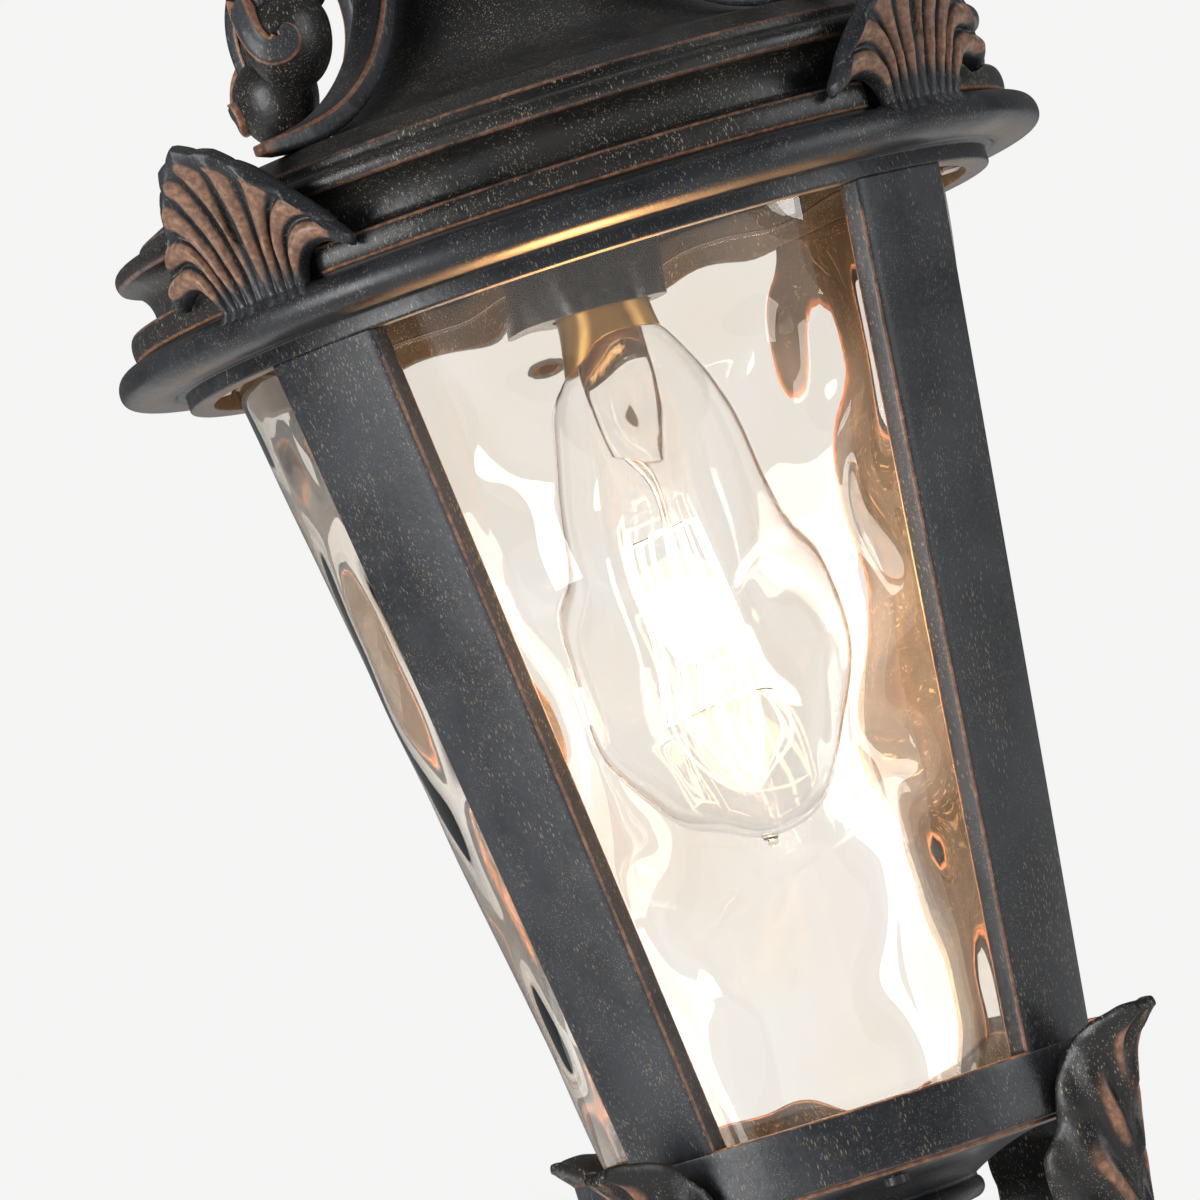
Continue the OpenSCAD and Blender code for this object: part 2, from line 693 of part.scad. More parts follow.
module clip_screws() {
    color(steel) in_frame() at_windows() translate([clip_back_r - clip_t, 0, clip_z]) rotate([0, 90, 0]) {
        bar(small_screw_r, 0, 6);
        bar(2.6, -1.4, 0);
    }
}

// Cup under the band, with its bead and turned stem
module bottom_cup() {
    color(iron) in_frame() difference() {
        turned(concat(
            [[0, bead_z + 3.6], [18, bead_z + 3.6]],
            curve([20, bead_z + 4], [28, bead_z + 6.5], [34, bead_z + 9.6], [40, band_low_z - 0.4], 5),
            [[52, band_low_z], [cup_r, band_low_z], [cup_r, band_low_z - 1]],
            curve([cup_r - 3, band_low_z - 1.7], [44, band_low_z - 2.2], [35, band_low_z - 4],
                [bead_r, bead_z], 8),
            curve([bead_r + 0.6, bead_z - 1], [bead_r + 1.5, bead_z - 2.6], [bead_r + 1, bead_z - 4.6],
                [bead_r - 2, bead_z - 5], 5),
            curve([bead_r - 6, bead_z - 6], [11, bead_z - 8], [8, bead_z - 14], [8.5, bead_z - 20], 7),
            curve([9, bead_z - 21], [12.5, bead_z - 22.5], [14, bead_z - 25], [13, hub_z], 5),
            [[0, hub_z]]));
        bar(rod_r + hole_gap, hub_z - 1, bead_z + 5);
        at_windows() translate([cup_screw_circle, 0, 0]) bar(small_screw_r + hole_gap, band_low_z - 5, band_low_z + 1);
    }
}

module cup_screws() {
    color(steel) in_frame() at_windows() translate([cup_screw_circle, 0, 0]) {
        bar(small_screw_r, band_low_z - 2.2, ledge_z - 0.8);
        bar(2.8, band_low_z - 4, band_low_z - 2.2);
    }
}

// Rod, washer and nut that hold the hub and finial under the cup
module finial_rod() {
    color(steel) in_frame() bar(rod_r, finial_z - rod_in_finial, bead_z + 3.6 + washer_t + nut_h + 1.5);
}
rod_in_finial = 16;

module rod_washer() {
    color(steel) in_frame() flat_ring(7, rod_r + hole_gap, bead_z + 3.6, bead_z + 3.6 + washer_t);
}

module rod_nut() {
    low = bead_z + 3.6 + washer_t;
    color(steel) in_frame() difference() {
        translate([0, 0, low]) cylinder(r = 5.8, h = nut_h, $fn = 6);
        bar(rod_r + hole_gap, low - 1, low + nut_h + 1);
    }
}

// Hub that the four leaf brackets end on
module finial_hub() {
    color(iron) in_frame() difference() {
        translate([0, 0, hub_z]) turned(concat(
            [[0, 0], [15, 0]],
            curve([17, -1], [18, -2.5], [hub_r, -4], [hub_r, -7], 4),
            curve([hub_r, -hub_h + 6], [hub_r, -hub_h + 4], [hub_r - 3, -hub_h + 1.5], [13, -hub_h], 5),
            [[0, -hub_h]]));
        bar(rod_r + hole_gap, finial_z - 1, hub_z + 1);
    }
}

// Drop finial
module bottom_finial() {
    color(iron) in_frame() difference() {
        translate([0, 0, finial_z]) turned(concat(
            [[0, 0], [7, 0]],
            curve([7, -1], [7, -3], [finial_r - 2, -3.5], [finial_r, -8], 6),
            curve([finial_r, -9], [finial_r + 0.5, -15], [5, -finial_h + 8], [3, -finial_h + 5], 8),
            curve([3.4, -finial_h + 4.2], [3.8, -finial_h + 2], [2.6, -finial_h + 0.3], [0, -finial_h], 5)));
        bar(rod_r + hole_gap, finial_z - rod_in_finial - 0.5, finial_z + 1);
    }
}

// Path of a leaf bracket: a tip that curls out, a body down past the band and a foot that leads in to the hub.
// Its straight part is as long as brings the foot to the middle of the hub.
leaf_start = [band_r + leaf_tip_out, band_top_z + leaf_tip_up, 195, 0];
leaf_shoulder = along(along(leaf_start, [leaf_curl_len, 42], 1), [leaf_bend_len, 14], 1);
leaf_foot_runs = [[11, -16], [leaf_foot_len, -65]];
leaf_foot_drop = -along(along([0, 0, 261, 0], leaf_foot_runs[0], 1), leaf_foot_runs[1], 1)[1];
hub_mid_z = hub_z - hub_h / 2;
leaf_body_len = (leaf_shoulder[1] - leaf_foot_drop - hub_mid_z) / sin(76);
leaf_body = walk(leaf_start, concat(
    [[leaf_curl_len, 42], [leaf_bend_len, 14], [leaf_body_len, 10]], leaf_foot_runs), 9, 4);
leaf_bend = leaf_body[len(leaf_body) - 1];
leaf_path = concat(leaf_body, [
    [(leaf_bend[0] + hub_r) / 2, leaf_bend[1], 180, leaf_bend[3] + (leaf_bend[0] - hub_r) / 2],
    [hub_r + seat_gap, leaf_bend[1], 180, leaf_bend[3] + leaf_bend[0] - hub_r - seat_gap]]);
leaf_length = leaf_path[len(leaf_path) - 1][3];
boss_end_r = leaf_shoulder[0] - leaf_t * 0.45 - leaf_fall * 0.3 - 3 * seat_gap;

// Half width of a leaf and how far its sides turn back, as shares of their most at a share of its length
function leaf_width(s) = lookup(s,
    [[0, 0.2], [0.02, 0.3], [0.05, 0.42], [0.1, 0.6], [0.17, 0.74], [0.24, 0.82], [0.3, 0.98], [0.42, 1],
     [0.6, 0.7], [0.8, 0.45], [1, 0.38]]);
function leaf_turn_back(s) = lookup(s,
    [[0, 0.04], [0.05, 0.22], [0.114, 0.62], [0.173, 0.78], [0.22, 0.75], [0.27, 0.8], [0.32, 0.98],
     [0.42, 0.95], [0.55, 0.5], [0.776, 0.25], [1, 0.15]]);

// Where a leaf's back is filled to a flat seat for the boss, from 0 to 1
function leaf_seat(s) = lookup(s, [[0.08, 0], [0.13, 1], [0.24, 1], [0.3, 0]]);

// Section of a leaf bracket: a raised rib, sides that turn back behind it, and a width that swells in lobes
function leaf_section(s) =
    let (
        lobe = 0.92 + 0.08 * abs(cos(180 * leaf_lobes * s)),
        w = leaf_w / 2 * leaf_width(s) * lobe,
        fall = leaf_fall * leaf_turn_back(s),
        t = leaf_t * (0.6 + 0.4 * min(1, 12 * s))
    )
    [[-w, -fall - t * 0.15], [-w, -fall + t * 0.15], [-w * 0.75, t * 0.4 - fall * 0.58],
     [-w * 0.4, t * 0.45 - fall * 0.18], [0, t * 0.6], [w * 0.4, t * 0.45 - fall * 0.18],
     [w * 0.75, t * 0.4 - fall * 0.58], [w, -fall + t * 0.15], [w, -fall - t * 0.15],
     [w * 0.6, -t * 0.45 - fall * 0.38], [0, -t * 0.5 - fall * 0.38 * leaf_seat(s)],
     [-w * 0.6, -t * 0.45 - fall * 0.38]];

module leaf_bracket(n) {
    color(brown_iron) in_frame() at_corner(n)
        swept(leaf_path, [for (p = leaf_path) leaf_section(p[3] / leaf_length)]);
}

// Screws from inside the band through the tongue and boss
module leaf_screws() {
    inside = band_r - band_wall - tongue_t;
    color(steel) in_frame() at_corners() translate([0, 0, leaf_screw_z]) rotate([0, 90, 0]) {
        bar(screw_r, inside - 0.2, boss_end_r);
        bar(3.4, inside - 1.8, inside - 0.2);
    }
}

// A palmette as a fan of ribs: across runs from -1 to 1 between the curls, up from 0 at the base to 1.
// Each row gives a rib's place across, the height that it leaves the base with, the point that it bends
// towards, and its tip, as shares of the palmette's half width and height.
palmette_ribs = [
    [0, 0.32, 0, 0.66, 0, 1], [0.222, 0.29, 0.18, 0.58, 0.25, 0.91], [0.444, 0.26, 0.38, 0.5, 0.47, 0.74],
    [0.667, 0.25, 0.39, 0.59, 0.84, 0.36], [0.889, 0.18, 0.59, 0.41, 1, 0.17], [1, 0.1, 0.62, 0.3, 0.99, 0.1]];
function rib_share(across, column) = lookup(abs(across), [for (rib = palmette_ribs) [rib[0], rib[column]]]);
function rib_foot(across) = [palmette_base_half_w * across, 0];
function rib_low(across) = [1.06 * palmette_base_half_w * across, palmette_h * rib_share(across, 1)];
function rib_high(across) =
    [sign(across) * palmette_half_w * rib_share(across, 2), palmette_h * rib_share(across, 3)];
function rib_tip(across) =
    [sign(across) * palmette_half_w * rib_share(across, 4), palmette_h * rib_share(across, 5)];
function rib_ridge(across) = abs(cos(90 * palmette_lobes * across));
function rib_point(across, up) =
    let (
        reach = up * (0.95 + 0.05 * rib_ridge(across)),
        s = 1 - reach
    )
    rib_foot(across) * s * s * s + rib_low(across) * 3 * s * s * reach
        + rib_high(across) * 3 * s * reach * reach + rib_tip(across) * reach * reach * reach;

// How far a palmette's face stands out at a point, and the radius it is wrapped round
function palmette_out(across, up) =
    palmette_t + palmette_rib * rib_ridge(across) * min(1, 0.25 + 1.6 * up) * (1 - 0.5 * pow(up, 6));
function palmette_place(flat, out) =
    let (
        z = flat[1],
        r = shoulder_r + palmette_lean * pow(max(0, z) / palmette_h, 2) + out,
        a = flat[0] / shoulder_r * 180 / PI
    )
    [r * cos(a), r * sin(a), z + shoulder_rise + seat_gap];

module palmette(n) {
    columns = 4 * palmette_lobes;
    rows = 8;
    row_len = columns + 1;
    grid = [for (j = [0:rows], i = [0:columns]) [2 * i / columns - 1, j / rows]];
    front = [for (g = grid) palmette_place(rib_point(g[0], g[1]), palmette_out(g[0], g[1]))];
    back = [for (g = grid) palmette_place(rib_point(g[0], g[1]), 0)];
    off = len(front);
    faces = concat(
        [for (j = [0:rows - 1], i = [0:columns - 1]) let (a = j * row_len + i) [a, a + row_len, a + 1]],
        [for (j = [0:rows - 1], i = [0:columns - 1]) let (a = j * row_len + i)
            [a + 1, a + row_len, a + row_len + 1]],
        [for (j = [0:rows - 1], i = [0:columns - 1]) let (a = off + j * row_len + i) [a, a + 1, a + row_len]],
        [for (j = [0:rows - 1], i = [0:columns - 1]) let (a = off + j * row_len + i)
            [a + 1, a + row_len + 1, a + row_len]],
        [for (i = [0:columns - 1]) [i, i + 1, off + i]],
        [for (i = [0:columns - 1]) [i + 1, off + i + 1, off + i]],
        [for (i = [0:columns - 1]) let (a = rows * row_len + i) [a, off + a, a + 1]],
        [for (i = [0:columns - 1]) let (a = rows * row_len + i) [a + 1, off + a, off + a + 1]],
        [for (j = [0:rows - 1]) let (a = j * row_len) [a, off + a, a + row_len]],
        [for (j = [0:rows - 1]) let (a = j * row_len) [off + a, off + a + row_len, a + row_len]],
        [for (j = [0:rows - 1]) let (a = j * row_len + columns) [a, a + row_len, off + a]],
        [for (j = [0:rows - 1]) let (a = j * row_len + columns) [off + a, a + row_len, off + a + row_len]]);
    color(copper) in_frame() at_corner(n) polyhedron(concat(front, back), faces, convexity = 8);
}

// Lamp: heights run down from its tip
lamp_tip_h = 1.6;
lamp_glass_z = lamp_seat_z - lamp_tip_h - 1.4 - lamp_cap_h;

module lamp_tip() {
    color(steel) in_frame() bar(4.5, lamp_seat_z - lamp_tip_h, lamp_seat_z);
}

module lamp_insulator() {
    color(insulation) in_frame() translate([0, 0, lamp_seat_z - lamp_tip_h]) turned([
        [0, 0], [5, 0], [9.5, -1.4], [9.5, -2.4], [0, -2.4]]);
}

module lamp_cap() {
    high = lamp_seat_z - lamp_tip_h - 1.4;
    color(brass) in_frame() turned([
        [9.6, high], [lamp_cap_r - 1.6, high], [lamp_cap_r, high - 2], [lamp_cap_r, lamp_glass_z],
        [lamp_cap_r - 0.5, lamp_glass_z], [lamp_cap_r - 0.5, high - 1.6], [9.6, high - 0.5]]);
}

// The bulb's outline, down from its neck inside the cap to the sealed tip
neck_inner_r = lamp_cap_r - 0.6;
bulb_outer = concat(
    [[neck_inner_r, lamp_glass_z + 8]],
    curve([neck_inner_r, lamp_glass_z], [neck_inner_r + 7.5, lamp_glass_z - 3],
        [lamp_r - 3.5, lamp_glass_z - 40], [lamp_r, lamp_glass_z - 76], 10),
    curve([lamp_r + 0.2, lamp_glass_z - 80], [lamp_r + 1.5, lamp_glass_z - 104],
        [lamp_r - 14, lamp_glass_z - lamp_glass_h], [3.5, lamp_glass_z - lamp_glass_h], 10),
    [[2, lamp_glass_z - lamp_glass_h - 3], [0, lamp_glass_z - lamp_glass_h - 3.6]]);
bulb_inner = concat(
    [[0, lamp_glass_z - lamp_glass_h + lamp_wall]],
    curve([3, lamp_glass_z - lamp_glass_h + lamp_wall], [lamp_r - 14 - lamp_wall, lamp_glass_z - lamp_glass_h + 1],
        [lamp_r + 1.5 - lamp_wall, lamp_glass_z - 104], [lamp_r - lamp_wall, lamp_glass_z - 80], 9),
    curve([lamp_r - lamp_wall, lamp_glass_z - 76], [lamp_r - 3.5 - lamp_wall, lamp_glass_z - 40],
        [neck_inner_r + 7.5 - lamp_wall, lamp_glass_z - 3], [neck_inner_r - lamp_wall, lamp_glass_z], 9),
    [[neck_inner_r - lamp_wall, lamp_glass_z + 8]]);

module lamp_glass() {
    color(clear_glass) in_frame() turned(concat(bulb_outer, bulb_inner));
}

// Glass stem with its pinch, from which the filament's leads come
stem_low_z = lamp_glass_z - 26;
module lamp_stem() {
    foot = neck_inner_r - lamp_wall - 0.2;
    color(clear_glass) in_frame() turned(concat(
        [[0, lamp_glass_z + 8], [foot, lamp_glass_z + 8]],
        curve([foot, lamp_glass_z + 6], [6, lamp_glass_z], [4.5, lamp_glass_z - 10], [4, stem_low_z], 6),
        [[0, stem_low_z]]));
}

// Wires from the stem out to the top and bottom of the filament cage
cage_top_z = lamp_glass_z - 44;
cage_low_z = lamp_glass_z - 90;
cage_top_r = 9;
cage_low_r = 15;
module filament_supports() {
    run_turn = 360 / filament_runs;
    color(steel) in_frame() {
        bar(1.2, cage_low_z - 2, stem_low_z);
        for (i = [0:filament_runs / 2 - 1]) {
            rotate(2 * i * run_turn) translate([0, 0, cage_top_z]) rotate([0, 90, 0])
                bar(filament_r, 0, cage_top_r - filament_r - 0.05);
            rotate((2 * i + 1) * run_turn) translate([0, 0, cage_low_z]) rotate([0, 90, 0])
                bar(filament_r, 0, cage_low_r - filament_r - 0.05);
        }
    }
}

// Filament: one wire that runs up and down round the cage, with a square corner at each end of a run
function wire_corner(run, high) =
    let (a = run * 360 / filament_runs, r = high ? cage_top_r : cage_low_r)
    [r * cos(a), r * sin(a), high ? cage_top_z : cage_low_z];
module filament() {
    corners = [for (i = [0:filament_runs - 1], second = [0, 1])
        wire_corner(i, (i % 2 == 0) == (second == 1))];
    last = len(corners) - 1;
    rings = [for (i = [0:last])
        let (
            p = corners[i],
            before = i == 0 ? corners[1] - p : p - corners[i - 1],
            after = i == last ? before : corners[i + 1] - p,
            way = before / norm(before) + after / norm(after),
            out = [p[0], p[1], 0] / norm([p[0], p[1]]),
            side = cross(way / norm(way), out) * (i == 0 || i == last ? 1 : sqrt(2))
        )
        each [for (k = [0:4]) p + filament_r * (out * cos(72 * k) + side * sin(72 * k))]];
    color(glow) in_frame() polyhedron(rings, tube_faces(last + 1, 5), convexity = 10);
}

hanging_loop();
loop_set_screw();
threaded_nipple();
roof_cap();
roof();
nipple_washer();
nipple_nut();
roof_gasket();
scroll_screws();
earth_screw();
holder_cap();
lampholder();
screw_shell();
centre_contact();
cage_ring();
bottom_band();
strap_screws();
roof_screws();
glass_shade();
glass_clips();
clip_screws();
glass_gasket();
bottom_cup();
cup_screws();
rod_washer();
rod_nut();
finial_rod();
finial_hub();
bottom_finial();
leaf_screws();
lamp_tip();
lamp_insulator();
lamp_cap();
lamp_glass();
lamp_stem();
filament_supports();
filament();
for (n = [1:4]) {
    roof_scroll(n);
    cage_strap(n);
    palmette(n);
    leaf_bracket(n);
}
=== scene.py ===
import math

import bmesh
import bpy
import numpy as np
from mathutils import Matrix, Vector


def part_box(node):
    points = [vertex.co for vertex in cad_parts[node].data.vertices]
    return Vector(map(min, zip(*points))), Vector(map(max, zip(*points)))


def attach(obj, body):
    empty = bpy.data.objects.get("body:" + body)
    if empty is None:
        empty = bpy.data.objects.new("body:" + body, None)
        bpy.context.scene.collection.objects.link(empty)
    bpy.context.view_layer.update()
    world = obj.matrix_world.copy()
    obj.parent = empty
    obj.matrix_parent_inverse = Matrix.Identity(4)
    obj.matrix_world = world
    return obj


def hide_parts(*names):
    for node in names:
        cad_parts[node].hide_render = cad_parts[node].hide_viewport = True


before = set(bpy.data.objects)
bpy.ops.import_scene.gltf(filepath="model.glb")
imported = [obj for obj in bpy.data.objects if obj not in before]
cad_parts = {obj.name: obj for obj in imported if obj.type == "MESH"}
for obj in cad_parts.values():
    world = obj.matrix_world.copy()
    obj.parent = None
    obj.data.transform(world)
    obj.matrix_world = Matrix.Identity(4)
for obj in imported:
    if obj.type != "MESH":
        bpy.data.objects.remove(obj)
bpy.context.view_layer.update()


# Camera: a long lens in front of one window, turned 17.5 degrees, so that the hanging lantern leans in
# the picture. The picture is taken to be 1200 pixels square.
camera_place = Vector((-0.1599, -1.7030, -0.2854))
camera_heading = math.radians(-4.694)
camera_pitch = math.radians(2.109)
camera_roll = math.radians(17.486)
level_right = Vector((math.cos(camera_heading), math.sin(camera_heading), 0))
level_forward = Vector((-math.sin(camera_heading), math.cos(camera_heading), 0))
forward = level_forward * math.cos(camera_pitch) + Vector((0, 0, math.sin(camera_pitch)))
level_up = level_right.cross(forward)
camera_x = level_right * math.cos(camera_roll) - level_up * math.sin(camera_roll)
camera_y = level_right * math.sin(camera_roll) + level_up * math.cos(camera_roll)
bpy.context.scene.view_settings.view_transform = "Standard"


def add_thing(name, data):
    """Puts a new thing in the scene: a piece, a light or the camera."""
    thing = bpy.data.objects.new(name, data)
    bpy.context.scene.collection.objects.link(thing)
    return thing


camera_data = bpy.data.cameras.new("camera")
camera_data.sensor_width = 36
camera_data.lens = 216.2
camera_data.clip_end = 60
camera = add_thing("camera", camera_data)
turned = Matrix((camera_x, camera_y, -forward)).transposed().to_4x4()
camera.matrix_world = Matrix.Translation(camera_place) @ turned
bpy.context.scene.camera = camera


# Cage ring: one aluminium casting with a rounded lip, a flat top that the roof sits on, and a plain
# apron that the four straps are screwed up into. It is painted charcoal, with copper rubbed on edges.
# Its charcoal is darker than that of the other castings, as painted shade under its lip.
ring_top_z = 5.1
lip_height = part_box("cage_ring")[1].z * 1000 - ring_top_z
lip_r = 114.3
apron_r = 99.4
apron_z = -8.4
ring_hole_r = 93.5
weld_distance = 2e-6
points_on_rounding = 6
on_axis_r = 1e-6


def make_piece(name, points, faces):
    """A closed piece from points in millimetres, with heights above the ring's lip."""
    placed = np.array(points, float)
    placed[:, 2] += lip_height
    mesh = bpy.data.meshes.new(name)
    mesh.from_pydata((placed / 1000).tolist(), [], [tuple(face) for face in faces])
    shell = bmesh.new()
    shell.from_mesh(mesh)
    bmesh.ops.remove_doubles(shell, verts=shell.verts, dist=weld_distance)
    bmesh.ops.recalc_face_normals(shell, faces=shell.faces)
    shell.to_mesh(mesh)
    shell.free()
    mesh.shade_smooth()
    return add_thing(name, mesh)


def curve(a, b, c, d, count, base=0.0):
    """Points of a cubic curve from a to d, which are given as (radius, height above base)."""
    t = np.linspace(0, 1, count + 1)[:, None]
    a, b, c, d = (np.array(p, float) + (0, base) for p in (a, b, c, d))
    s = 1 - t
    return (a * s**3 + 3 * b * s * s * t + 3 * c * s * t * t + d * t**3).tolist()


def rounded(corners, longest=1.6):
    """An outline through corners of (radius, height, rounding), with its long sides divided."""
    made = []
    for i, corner in enumerate(corners):
        here = np.array(corner[:2], float)
        if len(corner) < 3:
            made.append(here)
            continue
        before = np.array(corners[i - 1][:2], float) - here
        after = np.array(corners[(i + 1) % len(corners)][:2], float) - here
        start = here + before / np.linalg.norm(before) * corner[2]
        end = here + after / np.linalg.norm(after) * corner[2]
        for t in np.linspace(0, 1, points_on_rounding):
            made.append(start * (1 - t) ** 2 + 2 * here * t * (1 - t) + end * t * t)
    divided = []
    for i, point in enumerate(made):
        onward = made[(i + 1) % len(made)] - point
        parts = max(1, math.ceil(np.linalg.norm(onward) / longest))
        on_axis = point[0] < on_axis_r and (point + onward)[0] < on_axis_r
        for k in range(1 if on_axis else parts):
            divided.append(point + onward * k / parts)
    return np.array(divided)


def grid_faces(rows, columns, around_rows=False, around_columns=False):
    """Quads over a grid of points, which may close on itself either way."""
    i = np.arange(rows if around_rows else rows - 1)[:, None]
    k = np.arange(columns if around_columns else columns - 1)[None, :]
    i, k = np.broadcast_arrays(i, k)
    j, m = (i + 1) % rows, (k + 1) % columns
    quads = np.stack([i * columns + k, i * columns + m, j * columns + m, j * columns + k], axis=-1)
    return quads.reshape(-1, 4).tolist()


def turned_points(line, steps):
    """The points of (radius, height) at each step of a turn about the axis."""
    turn = np.arange(steps) * 2 * math.pi / steps
    return np.stack([
        line[:, None, 0] * np.cos(turn), line[:, None, 0] * np.sin(turn),
        np.broadcast_to(line[:, None, 1], (len(line), steps))], axis=-1)


def revolve(name, outline, steps):
    """A solid turned from its closed outline."""
    faces = grid_faces(len(outline), steps, around_rows=True, around_columns=True)
    return make_piece(name, turned_points(outline, steps).reshape(-1, 3), faces)


def set_rub(piece, values):
    """How far copper is rubbed on the paint at each point, from 0 to 1."""
    rub = piece.data.attributes.new("rub", "FLOAT", "POINT")
    rub.data.foreach_set("value", np.clip(values, 0, 1).astype(np.float32))


def rub_edges(piece, blunt=0.004, sharp=0.0014, spread=2, amount=1.0, below=1000.0):
    """Rubs copper where the surface turns outwards, in full at a radius of sharp and none at blunt.
    Above the height of below, nothing is rubbed."""
    mesh = piece.data
    count = len(mesh.vertices)
    place = np.empty(count * 3)
    facing = np.empty(count * 3)
    ends = np.empty(len(mesh.edges) * 2, int)
    mesh.vertices.foreach_get("co", place)
    mesh.vertices.foreach_get("normal", facing)
    mesh.edges.foreach_get("vertices", ends)
    place, facing, ends = place.reshape(-1, 3), facing.reshape(-1, 3), ends.reshape(-1, 2)
    a, b = ends[:, 0], ends[:, 1]
    step = place[b] - place[a]
    bend = ((facing[b] - facing[a]) * step).sum(1) / np.maximum((step * step).sum(1), 1e-12)
    most = np.zeros(count)
    np.maximum.at(most, a, bend)
    np.maximum.at(most, b, bend)
    share = np.clip((most - 1 / blunt) / (1 / sharp - 1 / blunt), 0, 1)
    for _ in range(spread):
        total = np.bincount(a, share[b], count) + np.bincount(b, share[a], count)
        near = np.bincount(a, minlength=count) + np.bincount(b, minlength=count)
        share = np.maximum(share, total / np.maximum(near, 1))
    share[place[:, 2] * 1000 - lip_height > below] = 0
    set_rub(piece, share * amount)


def fill(sockets, values):
    """Gives sockets their values: numbers, colours, nodes' outputs, or nodes for their first output."""
    for socket, value in zip(sockets, values):
        if isinstance(value, bpy.types.Node):
            value = value.outputs[0]
        if isinstance(value, bpy.types.NodeSocket):
            socket.id_data.links.new(value, socket)
        else:
            socket.default_value = (*value, 1) if socket.type == "RGBA" else value


def set_inputs(node, **inputs):
    """Gives a node's inputs their values by name, with an underscore for each space."""
    for key, value in inputs.items():
        fill([node.inputs[key.replace("_", " ")]], [value])


def node_in(tree, kind, settings=None, **inputs):
    """Adds a node, with its settings and its inputs by name."""
    made = tree.nodes.new(kind)
    for key, value in (settings or {}).items():
        setattr(made, key, value)
    set_inputs(made, **inputs)
    return made


def noise_in(tree, where, size, detail, rough=0.5):
    """Noise whose lumps are about size metres across."""
    return node_in(tree, "ShaderNodeTexNoise", Vector=where, Scale=1 / size, Detail=detail, Roughness=rough)


def between(tree, value, low, high, least=0.0, most=1.0):
    """A smooth step of value from low to high."""
    return node_in(tree, "ShaderNodeMapRange", {"interpolation_type": "SMOOTHSTEP"}, Value=value,
                   From_Min=low, From_Max=high, To_Min=least, To_Max=most)


def maths(tree, operation, a, b):
    """One step of arithmetic, such as ADD or MAXIMUM."""
    made = node_in(tree, "ShaderNodeMath", {"operation": operation})
    fill(made.inputs, (a, b))
    return made


def mix_colour(tree, share, a, b):
    """The colour a where share is 0 and b where it is 1."""
    made = node_in(tree, "ShaderNodeMix", {"data_type": "RGBA"})
    fill((made.inputs[0], made.inputs[6], made.inputs[7]), (share, a, b))
    return made.outputs[2]


def new_material(name):
    """A new material with its tree, its shader and the place of each point on the piece."""
    material = bpy.data.materials.new(name)
    material.use_nodes = True
    tree = material.node_tree
    where = tree.nodes.new("ShaderNodeTexCoord").outputs["Object"]
    return material, tree, tree.nodes["Principled BSDF"], where


speck_colour = (0.38, 0.32, 0.23)
# Each kind of speck: how it is turned, how far it is drawn out, specks to a metre, and where it shows.
speck_kinds = (((0.35, 0.5, 0.2), 0.25, 1250.0, 0.44, 0.6), ((1.3, -0.8, 0.9), 0.3, 1400.0, 0.46, 0.62),
               ((0.0, 0.9, -0.6), 0.7, 2000.0, 0.34, 0.58))


def painted_casting(name, dark, light, specks, pitting, rub_colour=(0.25, 0.125, 0.075)):
    """Satin paint on a cast surface, dry-brushed with beige specks, with copper where rub is high."""
    material, tree, shader, where = new_material(name)
    # The paint has darker and lighter clouds, and a fine grain.
    cloud = noise_in(tree, where, 0.028, 4)
    grain = noise_in(tree, where, 0.0016, 3, 0.6)
    paint = mix_colour(tree, between(tree, cloud, 0.3, 0.7), dark, light)
    paint = mix_colour(tree, between(tree, grain, 0.42, 0.78, 0, 0.6), paint, light)
    # The specks lie in patches.
    marks = []
    for turn, stretch, scale, low, high in speck_kinds:
        laid = node_in(tree, "ShaderNodeMapping", Vector=where, Scale=(1.0, 1.0, stretch), Rotation=turn)
        cells = node_in(tree, "ShaderNodeTexVoronoi", Vector=laid, Scale=scale)
        shown = between(tree, noise_in(tree, laid, 0.009, 3), low, high)
        mark = between(tree, cells, 0.12, 0.26, 1, 0)
        marks.append(maths(tree, "MULTIPLY", mark, shown))
    flecks = maths(tree, "MAXIMUM", maths(tree, "MAXIMUM", marks[0], marks[1]), marks[2])
    paint = mix_colour(tree, maths(tree, "MULTIPLY", flecks, specks), paint, speck_colour)
    # The copper of rubbed edges is uneven too.
    rub = node_in(tree, "ShaderNodeAttribute", {"attribute_name": "rub"}).outputs["Fac"]
    uneven = maths(tree, "MULTIPLY", noise_in(tree, where, 0.006, 4, 0.65), 0.5)
    uneven = maths(tree, "ADD", uneven, maths(tree, "MULTIPLY", noise_in(tree, where, 0.02, 2), 0.45))
    worn = between(tree, maths(tree, "ADD", rub, uneven), 0.72, 1.2)
    bright = tuple(2.1 * c for c in rub_colour)
    copper = mix_colour(tree, between(tree, grain, 0.35, 0.7), rub_colour, bright)
    # The shine varies with the clouds, and the cast skin is pitted.
    roughness = between(tree, cloud, 0.3, 0.7, 0.28, 0.4)
    roughness = maths(tree, "ADD", roughness, maths(tree, "MULTIPLY", grain, 0.12))
    coarse = noise_in(tree, where, 0.0045, 2)
    pits = node_in(tree, "ShaderNodeBump", Height=coarse, Strength=0.35, Distance=0.0003 * pitting)
    bump = node_in(tree, "ShaderNodeBump", Height=grain, Strength=0.5, Distance=0.00012 * pitting,
                   Normal=pits)
    set_inputs(shader, Base_Color=mix_colour(tree, worn, paint, copper), Roughness=roughness, Normal=bump,
               Specular_IOR_Level=0.5)
    return material


def dress(piece, body, slot, material, *nodes):
    """Gives a finished piece its material and its body, and hides the nodes it stands for. slot is not used.
    """
    piece.data.materials.clear()
    piece.data.materials.append(material)
    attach(piece, body)
    if nodes:
        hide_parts(*nodes)


